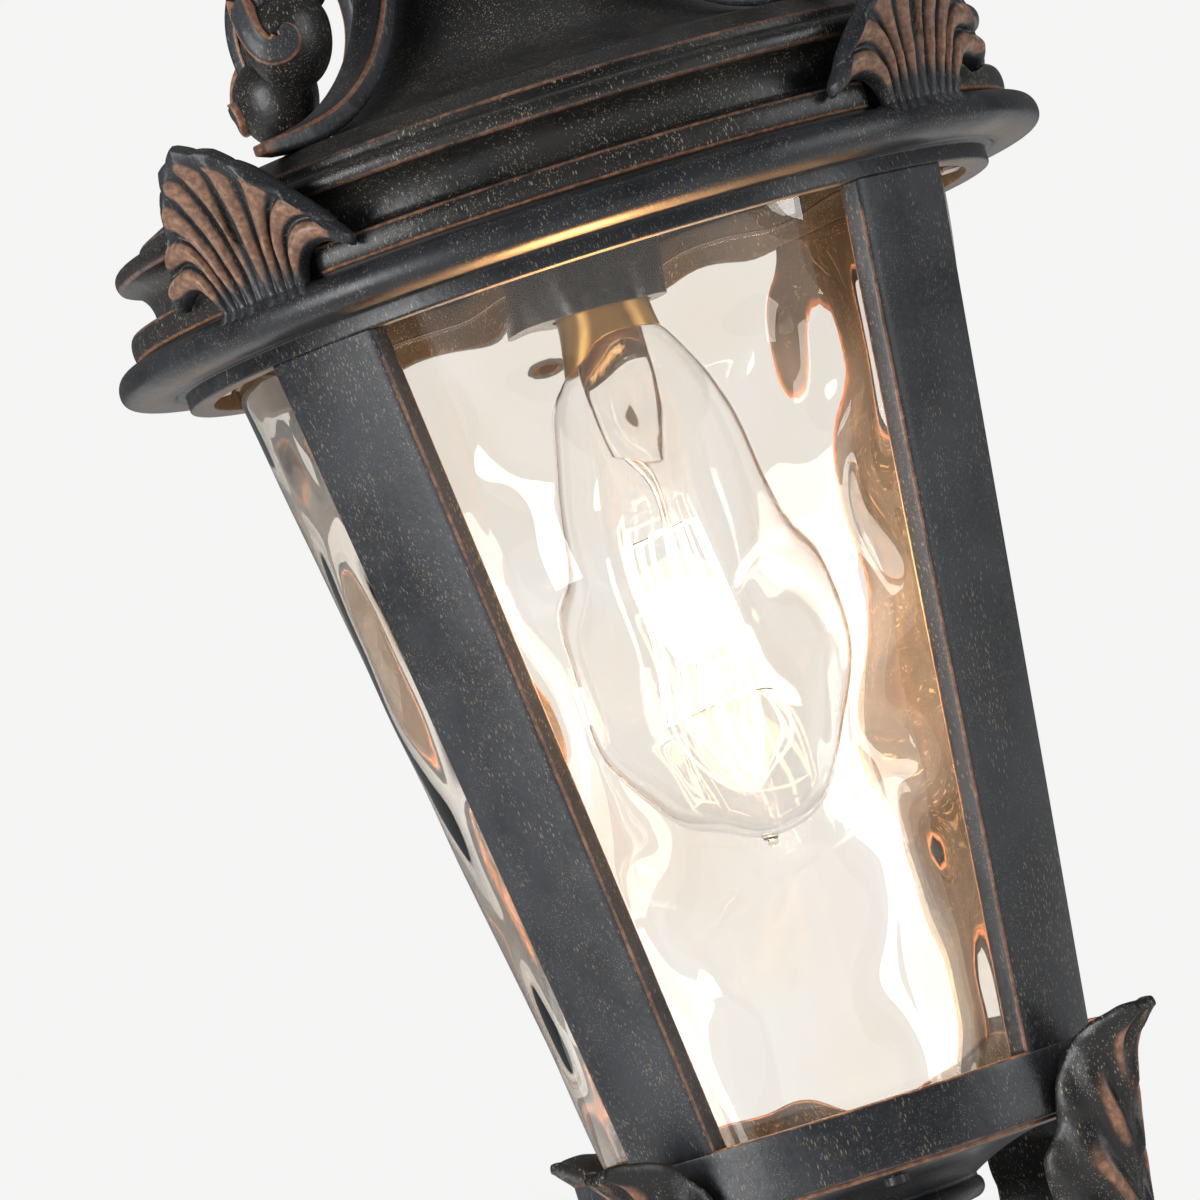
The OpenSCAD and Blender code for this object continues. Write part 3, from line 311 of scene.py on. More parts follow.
charcoal = painted_casting("charcoal_paint", (0.013, 0.015, 0.019), (0.044, 0.048, 0.055), 0.62, 1.0)
ring_outline = rounded(
    [(ring_hole_r, apron_z, 0.5), (apron_r, apron_z, 0.7), (apron_r, -4.4, 0.3), (101.0, -3.6, 0.5),
     (102.2, -4.4, 0.3)]
    + curve((103, -4.0), (111, -4.3), (114.2, -3.2), (lip_r, 0), 14)
    + curve((lip_r, 0.5), (114.1, 3.2), (112.4, 4.9), (109.3, ring_top_z), 12)
    + [(ring_hole_r, ring_top_z, 0.5)])
ring = revolve("cage_ring_casting", ring_outline, 256)
rub_edges(ring, sharp=0.0006, blunt=0.0016, spread=1, amount=0.25)
# A darker copy of the charcoal paint for the ring alone: painted shade from the lip that shields it.
ring_paint_with_painted_shade = painted_casting("ring_paint_with_painted_shade", (0.007, 0.008, 0.011), (0.026, 0.029, 0.035), 0.62, 1.0)
dress(ring, "cage", "charcoal_casting", ring_paint_with_painted_shade, "cage_ring")


# Cage straps: four tapered flat bars of cast aluminium, curved with the ring and the band, that slope
# in from the apron to the band. Screws hold them at both ends, out of sight.
band_top_z = -209.8
band_r = 67.6
strap_half_top = 16.15
strap_half_foot = 12.75
strap_slope = (apron_r - band_r) / (apron_z - band_top_z)
strap_wall = 5.5
strap_edge = 0.9
corner_turn = {1: 45, 2: 135, 3: 225, 4: -45}


def turn_to_corner(points, corner):
    """Turns points from the +X side to one of the four corners."""
    a = math.radians(corner_turn[corner])
    x, y = points[:, 0].copy(), points[:, 1].copy()
    return np.stack([x * math.cos(a) - y * math.sin(a), x * math.sin(a) + y * math.cos(a), points[:, 2]], 1)


def clamped(value):
    """The value, kept between 0 and 1."""
    return min(1, max(0, value))


def edge_arc(x, y, quarter, count):
    """The strap's edge: points about (x, y) through one quarter of a circle, after its first point."""
    turn = (quarter + np.linspace(0, 1, count)[1:]) * math.pi / 2
    return list(zip(x + strap_edge * np.cos(turn), y + strap_edge * np.sin(turn)))


def strap_section(z):
    """The strap's outline at one height: its round front, its sides and its back."""
    front = apron_r + strap_slope * (z - apron_z)
    back = front - strap_wall
    share = clamped((apron_z - z) / (apron_z - band_top_z))
    half = strap_half_top + (strap_half_foot - strap_half_top) * share
    flat = half - strap_edge
    front_x = math.sqrt(front**2 - half * half) - strap_edge
    back_x = math.sqrt(back**2 - half * half) + strap_edge
    line = [(math.sqrt(front**2 - y * y), y) for y in np.linspace(-flat, flat, 15)]
    line += edge_arc(front_x, flat, 0, 6)[:-1]
    line += [(x, half) for x in np.linspace(front_x, back_x, 4)]
    line += edge_arc(back_x, flat, 1, 5)
    line += [(math.sqrt(back**2 - y * y), y) for y in np.linspace(flat, -flat, 9)[1:]]
    line += edge_arc(back_x, -flat, 2, 5)
    line += [(x, -half) for x in np.linspace(back_x, front_x, 4)[1:]]
    line += edge_arc(front_x, -flat, 3, 6)[:-1]
    return [(x, y, z) for x, y in line]


def tube(name, rings, corner=None, rub=None, thin_ends=False):
    """A closed piece through rings of points, turned to a corner, with copper rubbed on it. Its ends are
    single faces or, where they are thin and bent, rows of faces between a ring's front and its back."""
    sides = len(rings[0])
    faces = grid_faces(len(rings), sides, around_columns=True)
    for first in (0, (len(rings) - 1) * sides):
        if not thin_ends:
            faces.append([first + k for k in range(sides)])
            continue
        for k in range(sides // 2 - 1):
            faces.append([first + k, first + k + 1, first + sides - 2 - k, first + sides - 1 - k])
    points = np.array(rings).reshape(-1, 3)
    if corner:
        points = turn_to_corner(points, corner)
    piece = make_piece(name, points, faces)
    if rub is not None:
        set_rub(piece, rub)
    return piece


strap_heights = np.concatenate([[apron_z + 0.05], np.linspace(apron_z - 0.5, band_top_z - 1.2, 90)])
strap_rings = [strap_section(z) for z in strap_heights]
for corner in corner_turn:
    strap = tube(f"strap_{corner}", strap_rings, corner)
    rub_edges(strap, sharp=0.0007, blunt=0.0018, spread=0, amount=0.86, below=apron_z - 6)
    dress(strap, "cage", "charcoal_casting", charcoal, f"cage_strap_{corner}")


# Bottom band: a cast aluminium ring that ties the feet of the straps. It has a ledge inside that the
# glass stands on, and a round boss at each corner that a leaf bracket is screwed to.
band_low_z = -225.3
band_lip = 3.5
band_ledge_r = band_r - 14.5
boss_end_r = band_r + 5.3
boss_r = 5.5
boss_sides = 32
leaf_screw_z = (band_top_z + band_low_z) / 2
band_outline = rounded([
    (band_ledge_r, band_low_z, 0.4), (band_r, band_low_z, 0.9), (band_r, band_top_z, 0.8),
    (band_r - band_lip, band_top_z, 0.6), (band_r - band_lip, band_low_z + 3, 0.3),
    (band_ledge_r, band_low_z + 3, 0.4)])
band = revolve("bottom_band_casting", band_outline, 224)
rub_edges(band, sharp=0.0006, blunt=0.002, spread=0, amount=0.5)
dress(band, "cage", "charcoal_casting", charcoal, "bottom_band")


def tree_with(name, **sizes):
    """An empty Geometry Nodes tree with one named number for each size, ready to be filled."""
    tree = bpy.data.node_groups.new(name, "GeometryNodeTree")
    for way in ("INPUT", "OUTPUT"):
        tree.interface.new_socket("Geometry", in_out=way, socket_type="NodeSocketGeometry")
    for key in sizes:
        tree.interface.new_socket(key, in_out="INPUT", socket_type="NodeSocketFloat")
    return tree, tree.nodes.new("NodeGroupInput"), tree.nodes.new("NodeGroupOutput")


def grown(piece, tree, **sizes):
    """The plain closed mesh that a tree makes from a piece, with the tree's inputs set first."""
    modifier = piece.modifiers.new("grow", "NODES")
    modifier.node_group = tree
    for socket in tree.interface.items_tree:
        if socket.in_out == "INPUT" and socket.name in sizes:
            modifier[socket.identifier] = float(sizes[socket.name])
    ready = piece.evaluated_get(bpy.context.evaluated_depsgraph_get())
    mesh = bpy.data.meshes.new_from_object(ready)
    piece.modifiers.remove(modifier)
    piece.data = mesh
    mesh.shade_smooth()
    return piece


def end_tree(tree, shape, material, out):
    """Ends a tree in one real mesh with its material."""
    real = node_in(tree, "GeometryNodeRealizeInstances", Geometry=shape)
    paint = node_in(tree, "GeometryNodeSetMaterial", Geometry=real, Material=material)
    set_inputs(out, Geometry=paint)


def corner_tree(name, material):
    """A tree that puts a copy of its shape at each of the corners round the lantern's axis."""
    tree, given, out = tree_with(name, copies=1, first_turn=1)
    points = node_in(tree, "GeometryNodePoints", Count=given.outputs["copies"], Position=(0, 0, 0))
    turn_each = maths(tree, "DIVIDE", 2 * math.pi, given.outputs["copies"])
    number = tree.nodes.new("GeometryNodeInputIndex")
    turn = maths(tree, "ADD", maths(tree, "MULTIPLY", number, turn_each), given.outputs["first_turn"])
    about = node_in(tree, "ShaderNodeCombineXYZ", Z=turn)
    copies = node_in(tree, "GeometryNodeInstanceOnPoints", Points=points, Rotation=about,
                     Instance=given.outputs["Geometry"])
    end_tree(tree, copies, material, out)
    return tree


at_corners = corner_tree("at_each_corner", charcoal)


def four_of(piece):
    """The piece four times over, once at each corner."""
    return grown(piece, at_corners, copies=4, first_turn=math.pi / 4)


boss_line = rounded([(0, band_r - 2), (boss_r, band_r - 2), (boss_r, boss_end_r, 0.6), (0, boss_end_r)], 1.0)
boss_points = turned_points(boss_line, boss_sides)[..., (2, 0, 1)].reshape(-1, 3) + (0, 0, leaf_screw_z)
boss_faces = grid_faces(len(boss_line), boss_sides, around_rows=True, around_columns=True)
bosses = make_piece("band_bosses", boss_points, boss_faces)
rub_edges(bosses, amount=0.6)
dress(four_of(bosses), "cage", "charcoal_casting", charcoal)


# Glass shade: a tapered cylinder of champagne glass, open at both ends, pressed with soft upright
# dimples like still water. It stands on a rubber gasket and leans on four spring clips in the ring.
glass_low_z = -220.8
glass_top_z = -2.0
glass_r_at_apron = 88.1
glass_r_at_foot = 59.4
window_h = 201.4
glass_slope = (glass_r_at_apron - glass_r_at_foot) / window_h
glass_wall = 3.0
glass_columns = 220
glass_rows = 172
dimple_seed = 11.9
outer_share = 0.3
calm_at_foot = 3
calm_at_top = 26
wall_inset = 0.5
rim_rise = 0.5


def plain_shade():
    """The shade's two walls without their dimples, with the share of swell at each point."""
    heights = np.linspace(glass_low_z, glass_top_z, glass_rows)
    mean = glass_r_at_apron + glass_slope * (heights - apron_z)
    calm = np.minimum((heights - glass_low_z) / calm_at_foot, (glass_top_z - heights) / calm_at_top)
    calm = np.minimum(1, calm)
    outer, inner = (turned_points(np.stack([r, heights], 1), glass_columns)
                    for r in (mean - wall_inset, mean - glass_wall + wall_inset))
    rims = []
    for edge, rise in ((-1, rim_rise), (0, -rim_rise)):
        between_walls = (outer[edge] + inner[edge]) / 2
        between_walls[:, 2] += rise
        rims.append(between_walls[None])
    points = np.concatenate([outer, rims[0], inner[::-1], rims[1]]).reshape(-1, 3)
    faces = grid_faces(glass_rows * 2 + 2, glass_columns, around_rows=True, around_columns=True)
    shade = make_piece("water_glass", points, faces)
    swell = np.concatenate([outer_share * calm, [0], calm[::-1], [0]])
    share = shade.data.attributes.new("swell", "FLOAT", "POINT")
    share.data.foreach_set("value", np.repeat(swell, glass_columns).astype(np.float32))
    return shade


def water_tree(material):
    """A tree that swells the shade in and out in soft dimples, taller than they are wide."""
    tree, given, out = tree_with("still_water", dimple=1, tallness=1, depth=1)
    place = tree.nodes.new("GeometryNodeInputPosition")
    parts = node_in(tree, "ShaderNodeSeparateXYZ", Vector=place).outputs
    low = maths(tree, "DIVIDE", parts["Z"], given.outputs["tallness"])
    squat = node_in(tree, "ShaderNodeCombineXYZ", X=parts["X"], Y=parts["Y"], Z=low)
    lumps = node_in(tree, "ShaderNodeTexNoise", {"noise_dimensions": "4D"}, Vector=squat, W=dimple_seed,
                    Detail=0.0, Roughness=0.3,
                    Scale=maths(tree, "DIVIDE", 1.0, given.outputs["dimple"]))
    swell = node_in(tree, "GeometryNodeInputNamedAttribute", {"data_type": "FLOAT"}, Name="swell")
    high = maths(tree, "MULTIPLY", maths(tree, "SUBTRACT", lumps, 0.5), given.outputs["depth"])
    high = maths(tree, "MULTIPLY", high, swell)
    level = node_in(tree, "ShaderNodeCombineXYZ", X=parts["X"], Y=parts["Y"])
    way = node_in(tree, "ShaderNodeVectorMath", {"operation": "NORMALIZE"}, Vector=level)
    move = node_in(tree, "ShaderNodeVectorMath", {"operation": "SCALE"}, Vector=way, Scale=high)
    moved = node_in(tree, "GeometryNodeSetPosition", Geometry=given.outputs["Geometry"], Offset=move)
    end_tree(tree, moved, material, out)
    return tree


def is_any(tree, first, *others):
    """1 where the ray is of one of these kinds, which are Light Path's names for them, and else 0."""
    path = tree.nodes.new("ShaderNodeLightPath")
    share = path.outputs[first]
    for other in others:
        share = maths(tree, "MAXIMUM", share, path.outputs[other])
    return share


def end_in_mix(tree, share, first, second, end="Material Output"):
    """Ends a material or the world in a mix of two shaders: the second where share is 1."""
    mix = tree.nodes.new("ShaderNodeMixShader")
    fill(mix.inputs, (share, first, second))
    set_inputs(tree.nodes[end], Surface=mix)


def clear_glass(name, tint, density, ior):
    """Clear glass whose polish varies a little, which lets the light of lamps through."""
    material, tree, shader, where = new_material(name)
    polish = between(tree, noise_in(tree, where, 0.02, 2), 0.45, 0.75, 0.0, 0.012)
    set_inputs(shader, Base_Color=(1, 1, 1), IOR=ior, Transmission_Weight=1.0, Roughness=polish)
    see_through = tree.nodes.new("ShaderNodeBsdfTransparent")
    end_in_mix(tree, is_any(tree, "Is Shadow Ray"), shader, see_through)
    if density:
        body = node_in(tree, "ShaderNodeVolumeAbsorption", Color=tint, Density=density)
        set_inputs(tree.nodes["Material Output"], Volume=body)
    return material


amber = clear_glass("amber_water_glass", (0.91, 0.58, 0.1), 50.0, 1.5)
shade = grown(plain_shade(), water_tree(amber), dimple=0.0205, tallness=1.5, depth=0.0066)
dress(shade, "cage", "amber_glass", amber, "glass_shade")


# Bottom cup: a turned-looking casting screwed up under the band, with a round bead and a waisted stem
# that the leaf brackets' hub hangs from.
bead_z = -235.8
hub_z = bead_z - 30
cup_r = 64.0


def turned_casting(name, outline, steps, body, node, amount=0.8):
    """A turned casting in charcoal paint, with copper rubbed on its ridges."""
    piece = revolve(name, rounded(outline), steps)
    rub_edges(piece, sharp=0.001, blunt=0.005, amount=amount)
    dress(piece, body, "charcoal_casting", charcoal, node)


cup_line = (
    [(0, bead_z + 3.6), (18, bead_z + 3.6)]
    + curve((20, bead_z + 4), (28, bead_z + 6.5), (34, bead_z + 9.6), (40, band_low_z - 0.4), 8)
    + [(52, band_low_z - 0.05), (cup_r, band_low_z - 0.05, 0.3), (cup_r, band_low_z - 1, 0.3)]
    + curve((cup_r - 2, band_low_z - 1.7), (46, band_low_z - 2.2), (35, band_low_z - 4),
            (24.4, bead_z + 0.6), 18)
    + curve((24.4, -0.2), (25.9, -1), (25.9, -4.2), (23.6, -4.9), 10, bead_z)
    + curve((22, -5.2), (11.5, -6.5), (8.4, -13), (8.5, -20), 16, bead_z)
    + curve((9, bead_z - 20.8), (12.5, bead_z - 22.5), (14, bead_z - 25), (13, hub_z), 10)
    + [(0, hub_z)])
turned_casting("bottom_cup_casting", cup_line, 192, "cage", "bottom_cup", 0.75)


# Hub and drop finial: two turned castings on the rod below the cup. The leaf brackets end on the hub.
hub_r = 20.0
hub_h = 22.0
finial_z = hub_z - hub_h
finial_h = 30.0
hub_line = (
    [(0, hub_z), (15, hub_z)]
    + curve((15.4, -0.6), (18, -2), (hub_r, -3.4), (hub_r, -7), 10, hub_z)
    + curve((hub_r, hub_z - 16), (hub_r, hub_z - 18.6), (17, hub_z - 20.6), (13, finial_z), 12)
    + [(0, finial_z)])
turned_casting("finial_hub_casting", hub_line, 128, "cage", "finial_hub")
finial_line = (
    [(0, finial_z), (7, finial_z)]
    + curve((7.2, -0.6), (7, -3), (12, -3.5), (14, -8), 12, finial_z)
    + curve((14, -9), (14.5, -15), (5, -22), (3, -25), 16, finial_z)
    + curve((3.2, -25.6), (3.9, -28), (2.6, -29.7), (0, -finial_h), 9, finial_z))
turned_casting("drop_finial_casting", finial_line, 96, "cage", "bottom_finial")


# Leaf brackets: four acanthus leaves of cast aluminium. Each curls out at its tip beside the strap's
# foot, folds into feathered lobes, and runs down and in to the hub.
brown = painted_casting("brown_paint", (0.0075, 0.0075, 0.008), (0.024, 0.0215, 0.02), 0.95, 1.6)


def walk(start, runs, step):
    """Points along runs of (length, turn), each an arc: radius, height, heading and distance walked."""
    r, z, heading, gone = start
    made = [(r, z, heading, gone)]
    for length, turn in runs:
        count = max(1, math.ceil(length / step))
        for _ in range(count):
            half = math.radians(heading + turn / count / 2)
            r += length / count * math.cos(half)
            z += length / count * math.sin(half)
            heading += turn / count
            gone += length / count
            made.append((r, z, heading, gone))
    return np.array(made)


leaf_start = (band_r + 26.3, band_top_z + 2.3, 195, 0)
leaf_runs = [(13.5, 42), (7, 14), (30.3, 10), (11, -16), (30, -65)]
leaf_path = walk(leaf_start, leaf_runs, 0.8)
last = leaf_path[-1]
tail = np.linspace(last[0], hub_r - 0.3, 16)[1:]
leaf_path = np.concatenate([leaf_path, [(r, last[1], 180, last[3] + last[0] - r) for r in tail]])
leaf_length = leaf_path[-1][3]
leaf_half = 15.0
leaf_thick = 5.4
leaf_fall = 13.0
leaf_folds = 7.5
feather_slant = 1.9
feather_crest = 0.72
feather_height = 2.8
spine_height = 0.7
spine_half = 0.12
leaf_columns = 75
seat_fall = 0.38
# Shares of the leaf's length, and at each the share of its width, its fall, its thickness or its seat.
leaf_widths = ((0, 0.02, 0.05, 0.1, 0.17, 0.24, 0.3, 0.42, 0.6, 0.8, 1),
               (0.24, 0.33, 0.42, 0.6, 0.74, 0.82, 0.98, 1, 0.7, 0.45, 0.38))
leaf_falls = ((0, 0.05, 0.114, 0.173, 0.22, 0.27, 0.32, 0.42, 0.55, 0.776, 1),
              (0.04, 0.22, 0.62, 0.78, 0.75, 0.8, 0.98, 0.95, 0.5, 0.25, 0.15))
leaf_thicks = ((0, 0.03, 0.2, 1), (0.6, 0.9, 1, 0.9))
leaf_seat = ((0.08, 0.13, 0.24, 0.3), (0, 1, 1, 0))


def leaf_piece(corner):
    """A leaf whose face is folded into feathers that run down to its spine, and whose sides turn back."""
    across = np.linspace(-1, 1, leaf_columns)
    outward = np.abs(across)
    rings = []
    rub = []
    for r, z, heading, gone in leaf_path:
        s = gone / leaf_length
        w = leaf_half * np.interp(s, *leaf_widths)
        # Feathers with a long and a short slope. The leaf is narrower between two lobes.
        feather = s * leaf_folds + feather_slant * outward ** 0.9
        saw = feather - np.floor(feather)
        fold = np.where(saw < feather_crest, saw / feather_crest, (1 - saw) / (1 - feather_crest))
        fold = fold * fold * (3 - 2 * fold)
        lobe = (s * leaf_folds + feather_slant) % 1
        w *= 0.9 + 0.1 * math.sin(math.pi * min(1, lobe / 0.8))
        # What stands proud of the face, and how far the sides fall back.
        thick = leaf_thick * np.interp(s, *leaf_thicks)
        spine = np.exp(-((across / spine_half) ** 2))
        side = np.clip(outward / 0.16, 0, 1)
        relief = spine_height * spine
        relief += feather_height * side * fold * (1 - 0.35 * outward) * min(1, 0.25 + 5 * s)
        fall = leaf_fall * np.interp(s, *leaf_falls)
        bend = fall * outward ** 1.9
        edge = np.sqrt(np.clip(1 - outward ** 8, 0, 1))
        face = (thick / 2 + relief - 1) * edge - bend
        back = -thick / 2 * edge - bend
        # The back is flat where it sits on the band's boss.
        seat = np.interp(s, *leaf_seat)
        flat_back = -thick / 2 - fall * seat_fall
        back = np.where(outward < 0.6, back * (1 - seat) + flat_back * seat, back)
        way = math.radians(heading + 90)
        line = []
        for x, out in list(zip(across * w, face)) + list(zip(across[-2:0:-1] * w, back[-2:0:-1])):
            line.append((r + out * math.cos(way), x, z + out * math.sin(way)))
        rings.append(line)
        worn = fold * np.exp(-(((outward - 0.45) / 0.26) ** 2)) + 0.3 * spine
        rub.append(np.concatenate([worn, np.zeros(leaf_columns - 2)]))
    return tube(f"acanthus_bracket_{corner}", rings, corner, np.concatenate(rub) * 0.8)


for corner in corner_turn:
    dress(leaf_piece(corner), "cage", "brown_casting", brown, f"leaf_bracket_{corner}")


# Palmettes: four fans of nine cast ribs that stand on the ring above the straps and lean out. The side
# ribs curl over at their tips. Copper is rubbed on the ribs and left dark in the grooves.
palmette_lobes = 9
palmette_r = 110.4
palmette_lean = 14.0
palmette_height = 38.0
palmette_columns = palmette_lobes * 14 + 1
palmette_rows = 52
palmette_plate = 1.6
rib_height = 2.8
rim_height = 1.9
rim_from = 0.84
skirt_rows = 7
skirt_reach = 4.0
skirt_drop = 4.4
palmette_foot_z = ring_top_z + 0.3
rib_places = (0.0, 0.222, 0.444, 0.667, 0.889, 1.0)
# The ribs' four control points, from foot to tip: how far sideways and how far up at each rib place.
rib_tables = (((0, 3.2, 6.4, 9.4, 12.0, 13.2), (0, 0, 0, 0, 0, 0)),
              ((0, 3.3, 7.0, 10.2, 12.6, 13.6), (12, 11, 10, 9.5, 7, 4)),
              ((0, 5.0, 10.6, 11.0, 16.5, 17.5), (25, 22, 19, 22.5, 15.5, 11.5)),
              ((0, 7.0, 13.2, 23.8, 28.2, 28.0), (38, 34.5, 28.0, 13.6, 6.4, 3.6)))


def rib_control(table, across):
    """One control point of the rib that starts at across, from -1 to 1."""
    sideways, up = (np.interp(abs(across), rib_places, row) for row in table)
    return np.array((math.copysign(sideways, across), up))


def palmette_piece(corner):
    """A fan whose rows run across it, from a skirt that turns down over the ring to the ribs' tips."""
    rings = []
    worn = []
    for j in range(-skirt_rows, palmette_rows):
        up = max(0, j) / (palmette_rows - 1)
        front = []
        back = []
        wear = []
        for i in range(palmette_columns):
            # Where the point lies on the flat fan.
            across = 2 * i / (palmette_columns - 1) - 1
            ridge = abs(math.cos(math.pi / 2 * palmette_lobes * across))
            reach = up * (0.982 + 0.018 * ridge ** 0.5)
            s = 1 - reach
            weights = (s**3, 3 * s * s * reach, 3 * s * reach**2, reach**3)
            flat = sum(rib_control(table, across) * weight for table, weight in zip(rib_tables, weights))
            # How proud the rib stands there, with a thick rim and round edges.
            swell = ridge ** 0.8
            if abs(across) * palmette_lobes < 1:
                spread = min(1, max(0.01, (up - 0.3) / 0.5))
                swell = math.cos(math.pi / 2 * min(1, abs(across) * palmette_lobes / spread)) ** 0.6
            edge = min(1, (1 - abs(across)) / 0.03, (1 - up) / 0.05)
            swell *= clamped((1 - up) / 0.07 - 0.7)
            round_edge = math.sqrt(max(0, 1 - (1 - edge) ** 2))
            proud = palmette_plate + rib_height * swell * min(1, 0.3 + 2.2 * up)
            proud += rim_height * clamped((up - rim_from) / 0.08)
            proud = 1.0 + (proud - 1.0) * round_edge
            # The fan leans out, and its skirt turns down over the ring.
            lean = palmette_lean * (max(0, flat[1]) / palmette_height) ** 2
            a = flat[0] / palmette_r
            if j >= 0:
                r_front, r_back = palmette_r + lean + proud, palmette_r + lean - 0.8
                z_front = z_back = flat[1] + palmette_foot_z
            else:
                share = -j / skirt_rows
                r_front = palmette_r + proud + share * (skirt_reach - proud) - 0.5 * share**3
                r_back = palmette_r - 0.8
                z_front = palmette_foot_z - skirt_drop * share
                z_back = palmette_foot_z - 0.05 * share
                a *= 1 + 0.12 * share
            front.append((r_front * math.cos(a), r_front * math.sin(a), z_front))
            back.append((r_back * math.cos(a), r_back * math.sin(a), z_back))
            shown = clamped(up / 0.3) * clamped((1 - up) * 13 - 0.9) * edge
            wear.append(clamped((swell - 0.3) / 0.55) * shown)
        rings.append(front + back[::-1])
        worn.append(wear + [0.0] * palmette_columns)
    return tube(f"palmette_casting_{corner}", rings, corner, np.concatenate(worn), thin_ends=True)


palmette_paint = painted_casting("palmette_paint", (0.012, 0.014, 0.018), (0.035, 0.038, 0.044), 0.5, 1.6,
                                 (0.2, 0.108, 0.068))
for corner in corner_turn:
    dress(palmette_piece(corner), "cage", "charcoal_casting", palmette_paint, f"palmette_{corner}")


# Roof: one casting, with a rim that sits on the ring's gasket, a deep cavetto, a flared lip, a stepped
# edge rubbed with copper and a bell-shaped dome up to the neck.
roof_z = ring_top_z + 1.0
rim_top_z = roof_z + 6.3
flare_z = rim_top_z + 13
top_edge_z = flare_z + 11.1
neck_z = top_edge_z + 58.5
neck_r = 26.0
cove_r = 100.4
top_edge_r = 89.8
notch_r = cove_r + 1.0
notch_half = 15.0
notch_round = 7.0
roof_line = (
    curve((107.4, roof_z), (108.6, roof_z + 0.6), (108.7, rim_top_z - 1.2), (107.4, rim_top_z - 0.1), 10)
    + curve((106.6, 0.1), (103.6, 0.2), (101.4, 0.5), (cove_r + 0.2, 1.6), 6, rim_top_z)
    + curve((cove_r, rim_top_z + 2.4), (cove_r - 0.2, rim_top_z + 7.6), (cove_r + 2.6, flare_z - 2.6),
            (106.4, flare_z - 1.8), 14)
    + curve((106.9, -1.6), (107.9, 0), (107.7, 2.3), (105.2, 2.9), 10, flare_z)
    + [(100.2, flare_z + 3.7, 0.8), (99.9, flare_z + 6.2, 0.8), (top_edge_r + 0.4, top_edge_z - 0.2, 0.7)]
    + curve((top_edge_r - 2, top_edge_z + 0.4), (56, top_edge_z + 2.4), (neck_r + 10, top_edge_z + 15),
            (neck_r, neck_z - 0.05), 46)
    + [(0, neck_z - 0.05), (0, neck_z - 4)]
    + curve((neck_r - 3.5, neck_z - 4), (neck_r + 6.5, top_edge_z + 12), (54, top_edge_z - 1.5),
            (top_edge_r - 6, top_edge_z - 3.1), 30)
    + [(cove_r - 5.5, flare_z + 3), (cove_r - 3.5, flare_z - 1), (cove_r - 3.5, roof_z)])


def cut_notches(piece):
    """Draws the rim in to the cavetto at the four corners, where the palmettes stand."""
    for vertex in piece.data.vertices:
        x, y = vertex.co.x * 1000, vertex.co.y * 1000
        z = vertex.co.z * 1000 - lip_height
        r = math.hypot(x, y)
        if r <= notch_r or z > rim_top_z + 0.4:
            continue
        turn = math.atan2(y, x) % (math.pi / 2) - math.pi / 4
        beside = abs(r * math.sin(turn))
        if beside >= notch_half:
            continue
        into_end = max(0, beside - (notch_half - notch_round))
        least = notch_r + notch_round - math.sqrt(notch_round**2 - into_end**2)
        if r > least:
            vertex.co.x *= least / r
            vertex.co.y *= least / r


roof = revolve("roof_casting", rounded(roof_line), 360)
cut_notches(roof)
rub_edges(roof, sharp=0.0008, blunt=0.0028, spread=1, amount=1.0)
dress(roof, "roof", "brown_casting", brown, "roof")


# Scrolls: four castings screwed to the dome above the straps. Each has a tail on the roof's edge, a
# grooved stem that arches over, an egg-shaped volute with a comma in relief, and a ball above it.
scroll_start = (98, top_edge_z + 2.4, 178, 0)
scroll_runs = [(12, -4), (12, -12), (39, -42), (76, -210), (8, -6)]
scroll_path = walk(scroll_start, scroll_runs, 0.7)
scroll_length = scroll_path[-1][3]
scroll_sides = 64
scroll_widths = ((0, 0.04, 0.1, 0.2, 0.5, 0.75, 1), (3, 6.4, 9.5, 12, 11, 8, 4.6))
scroll_thicks = ((0, 0.04, 0.12, 0.5, 0.75, 1), (2.6, 4.4, 6, 6, 5, 4))
groove_depth = 1.7
egg_place = (76.9, 65.0)
egg_size = np.array((11.5, 9.5, 14.0))
egg_top = 0.7
egg_right = np.array((-0.66, 0.751, 0.0))
egg_front = np.array((0.751, 0.66, 0.0))
ball_place = (71.0, 76.0)
ball_size = (9.3, 9.3, 9.3)
# The comma's middle line on the egg's front: how far right, how far up, and half its width.
comma_line = ((-8.0, 10.0, 2.2), (-7.9, 5.0, 2.4), (-7.4, 1.0, 2.5), (-6.3, -2.4, 2.7), (-4.3, -4.4, 3.4),
              (-1.8, -4.2, 4.0), (-0.1, -2.8, 3.6), (0.1, -1.2, 2.6), (-0.9, 0.0, 1.2))
comma_steps = 60
comma_smoothings = 14
comma_shares = np.linspace(-1, 1, 21)


def scroll_piece(corner):
    """A strip that tapers along its path, rounded at its sides, with a groove in its outer face."""
    rings = []
    rub = []
    for r, z, heading, gone in scroll_path:
        s = gone / scroll_length
        w = np.interp(s, *scroll_widths) / 2
        t = np.interp(s, *scroll_thicks)
        way = math.radians(heading + 90)
        line = []
        for k in range(scroll_sides):
            a = 2 * math.pi * k / scroll_sides
            x = w * math.copysign(abs(math.cos(a)) ** 0.4, math.cos(a))
            out = t / 2 * math.copysign(abs(math.sin(a)) ** 0.5, math.sin(a))
            if math.sin(a) < 0:
                out += groove_depth * math.exp(-((x / (0.42 * w)) ** 2)) * min(1, 6 * s)
            line.append((r + out * math.cos(way), x, z + out * math.sin(way)))
            rim = math.sin(a) < 0 and 0.84 < abs(x) / w < 0.97
            rub.append(0.8 if rim else max(0.24 * (math.sin(a) < 0), 0.8 - 16 * s))
        rings.append(line)
    return tube(f"roof_scroll_casting_{corner}", rings, corner, np.array(rub))


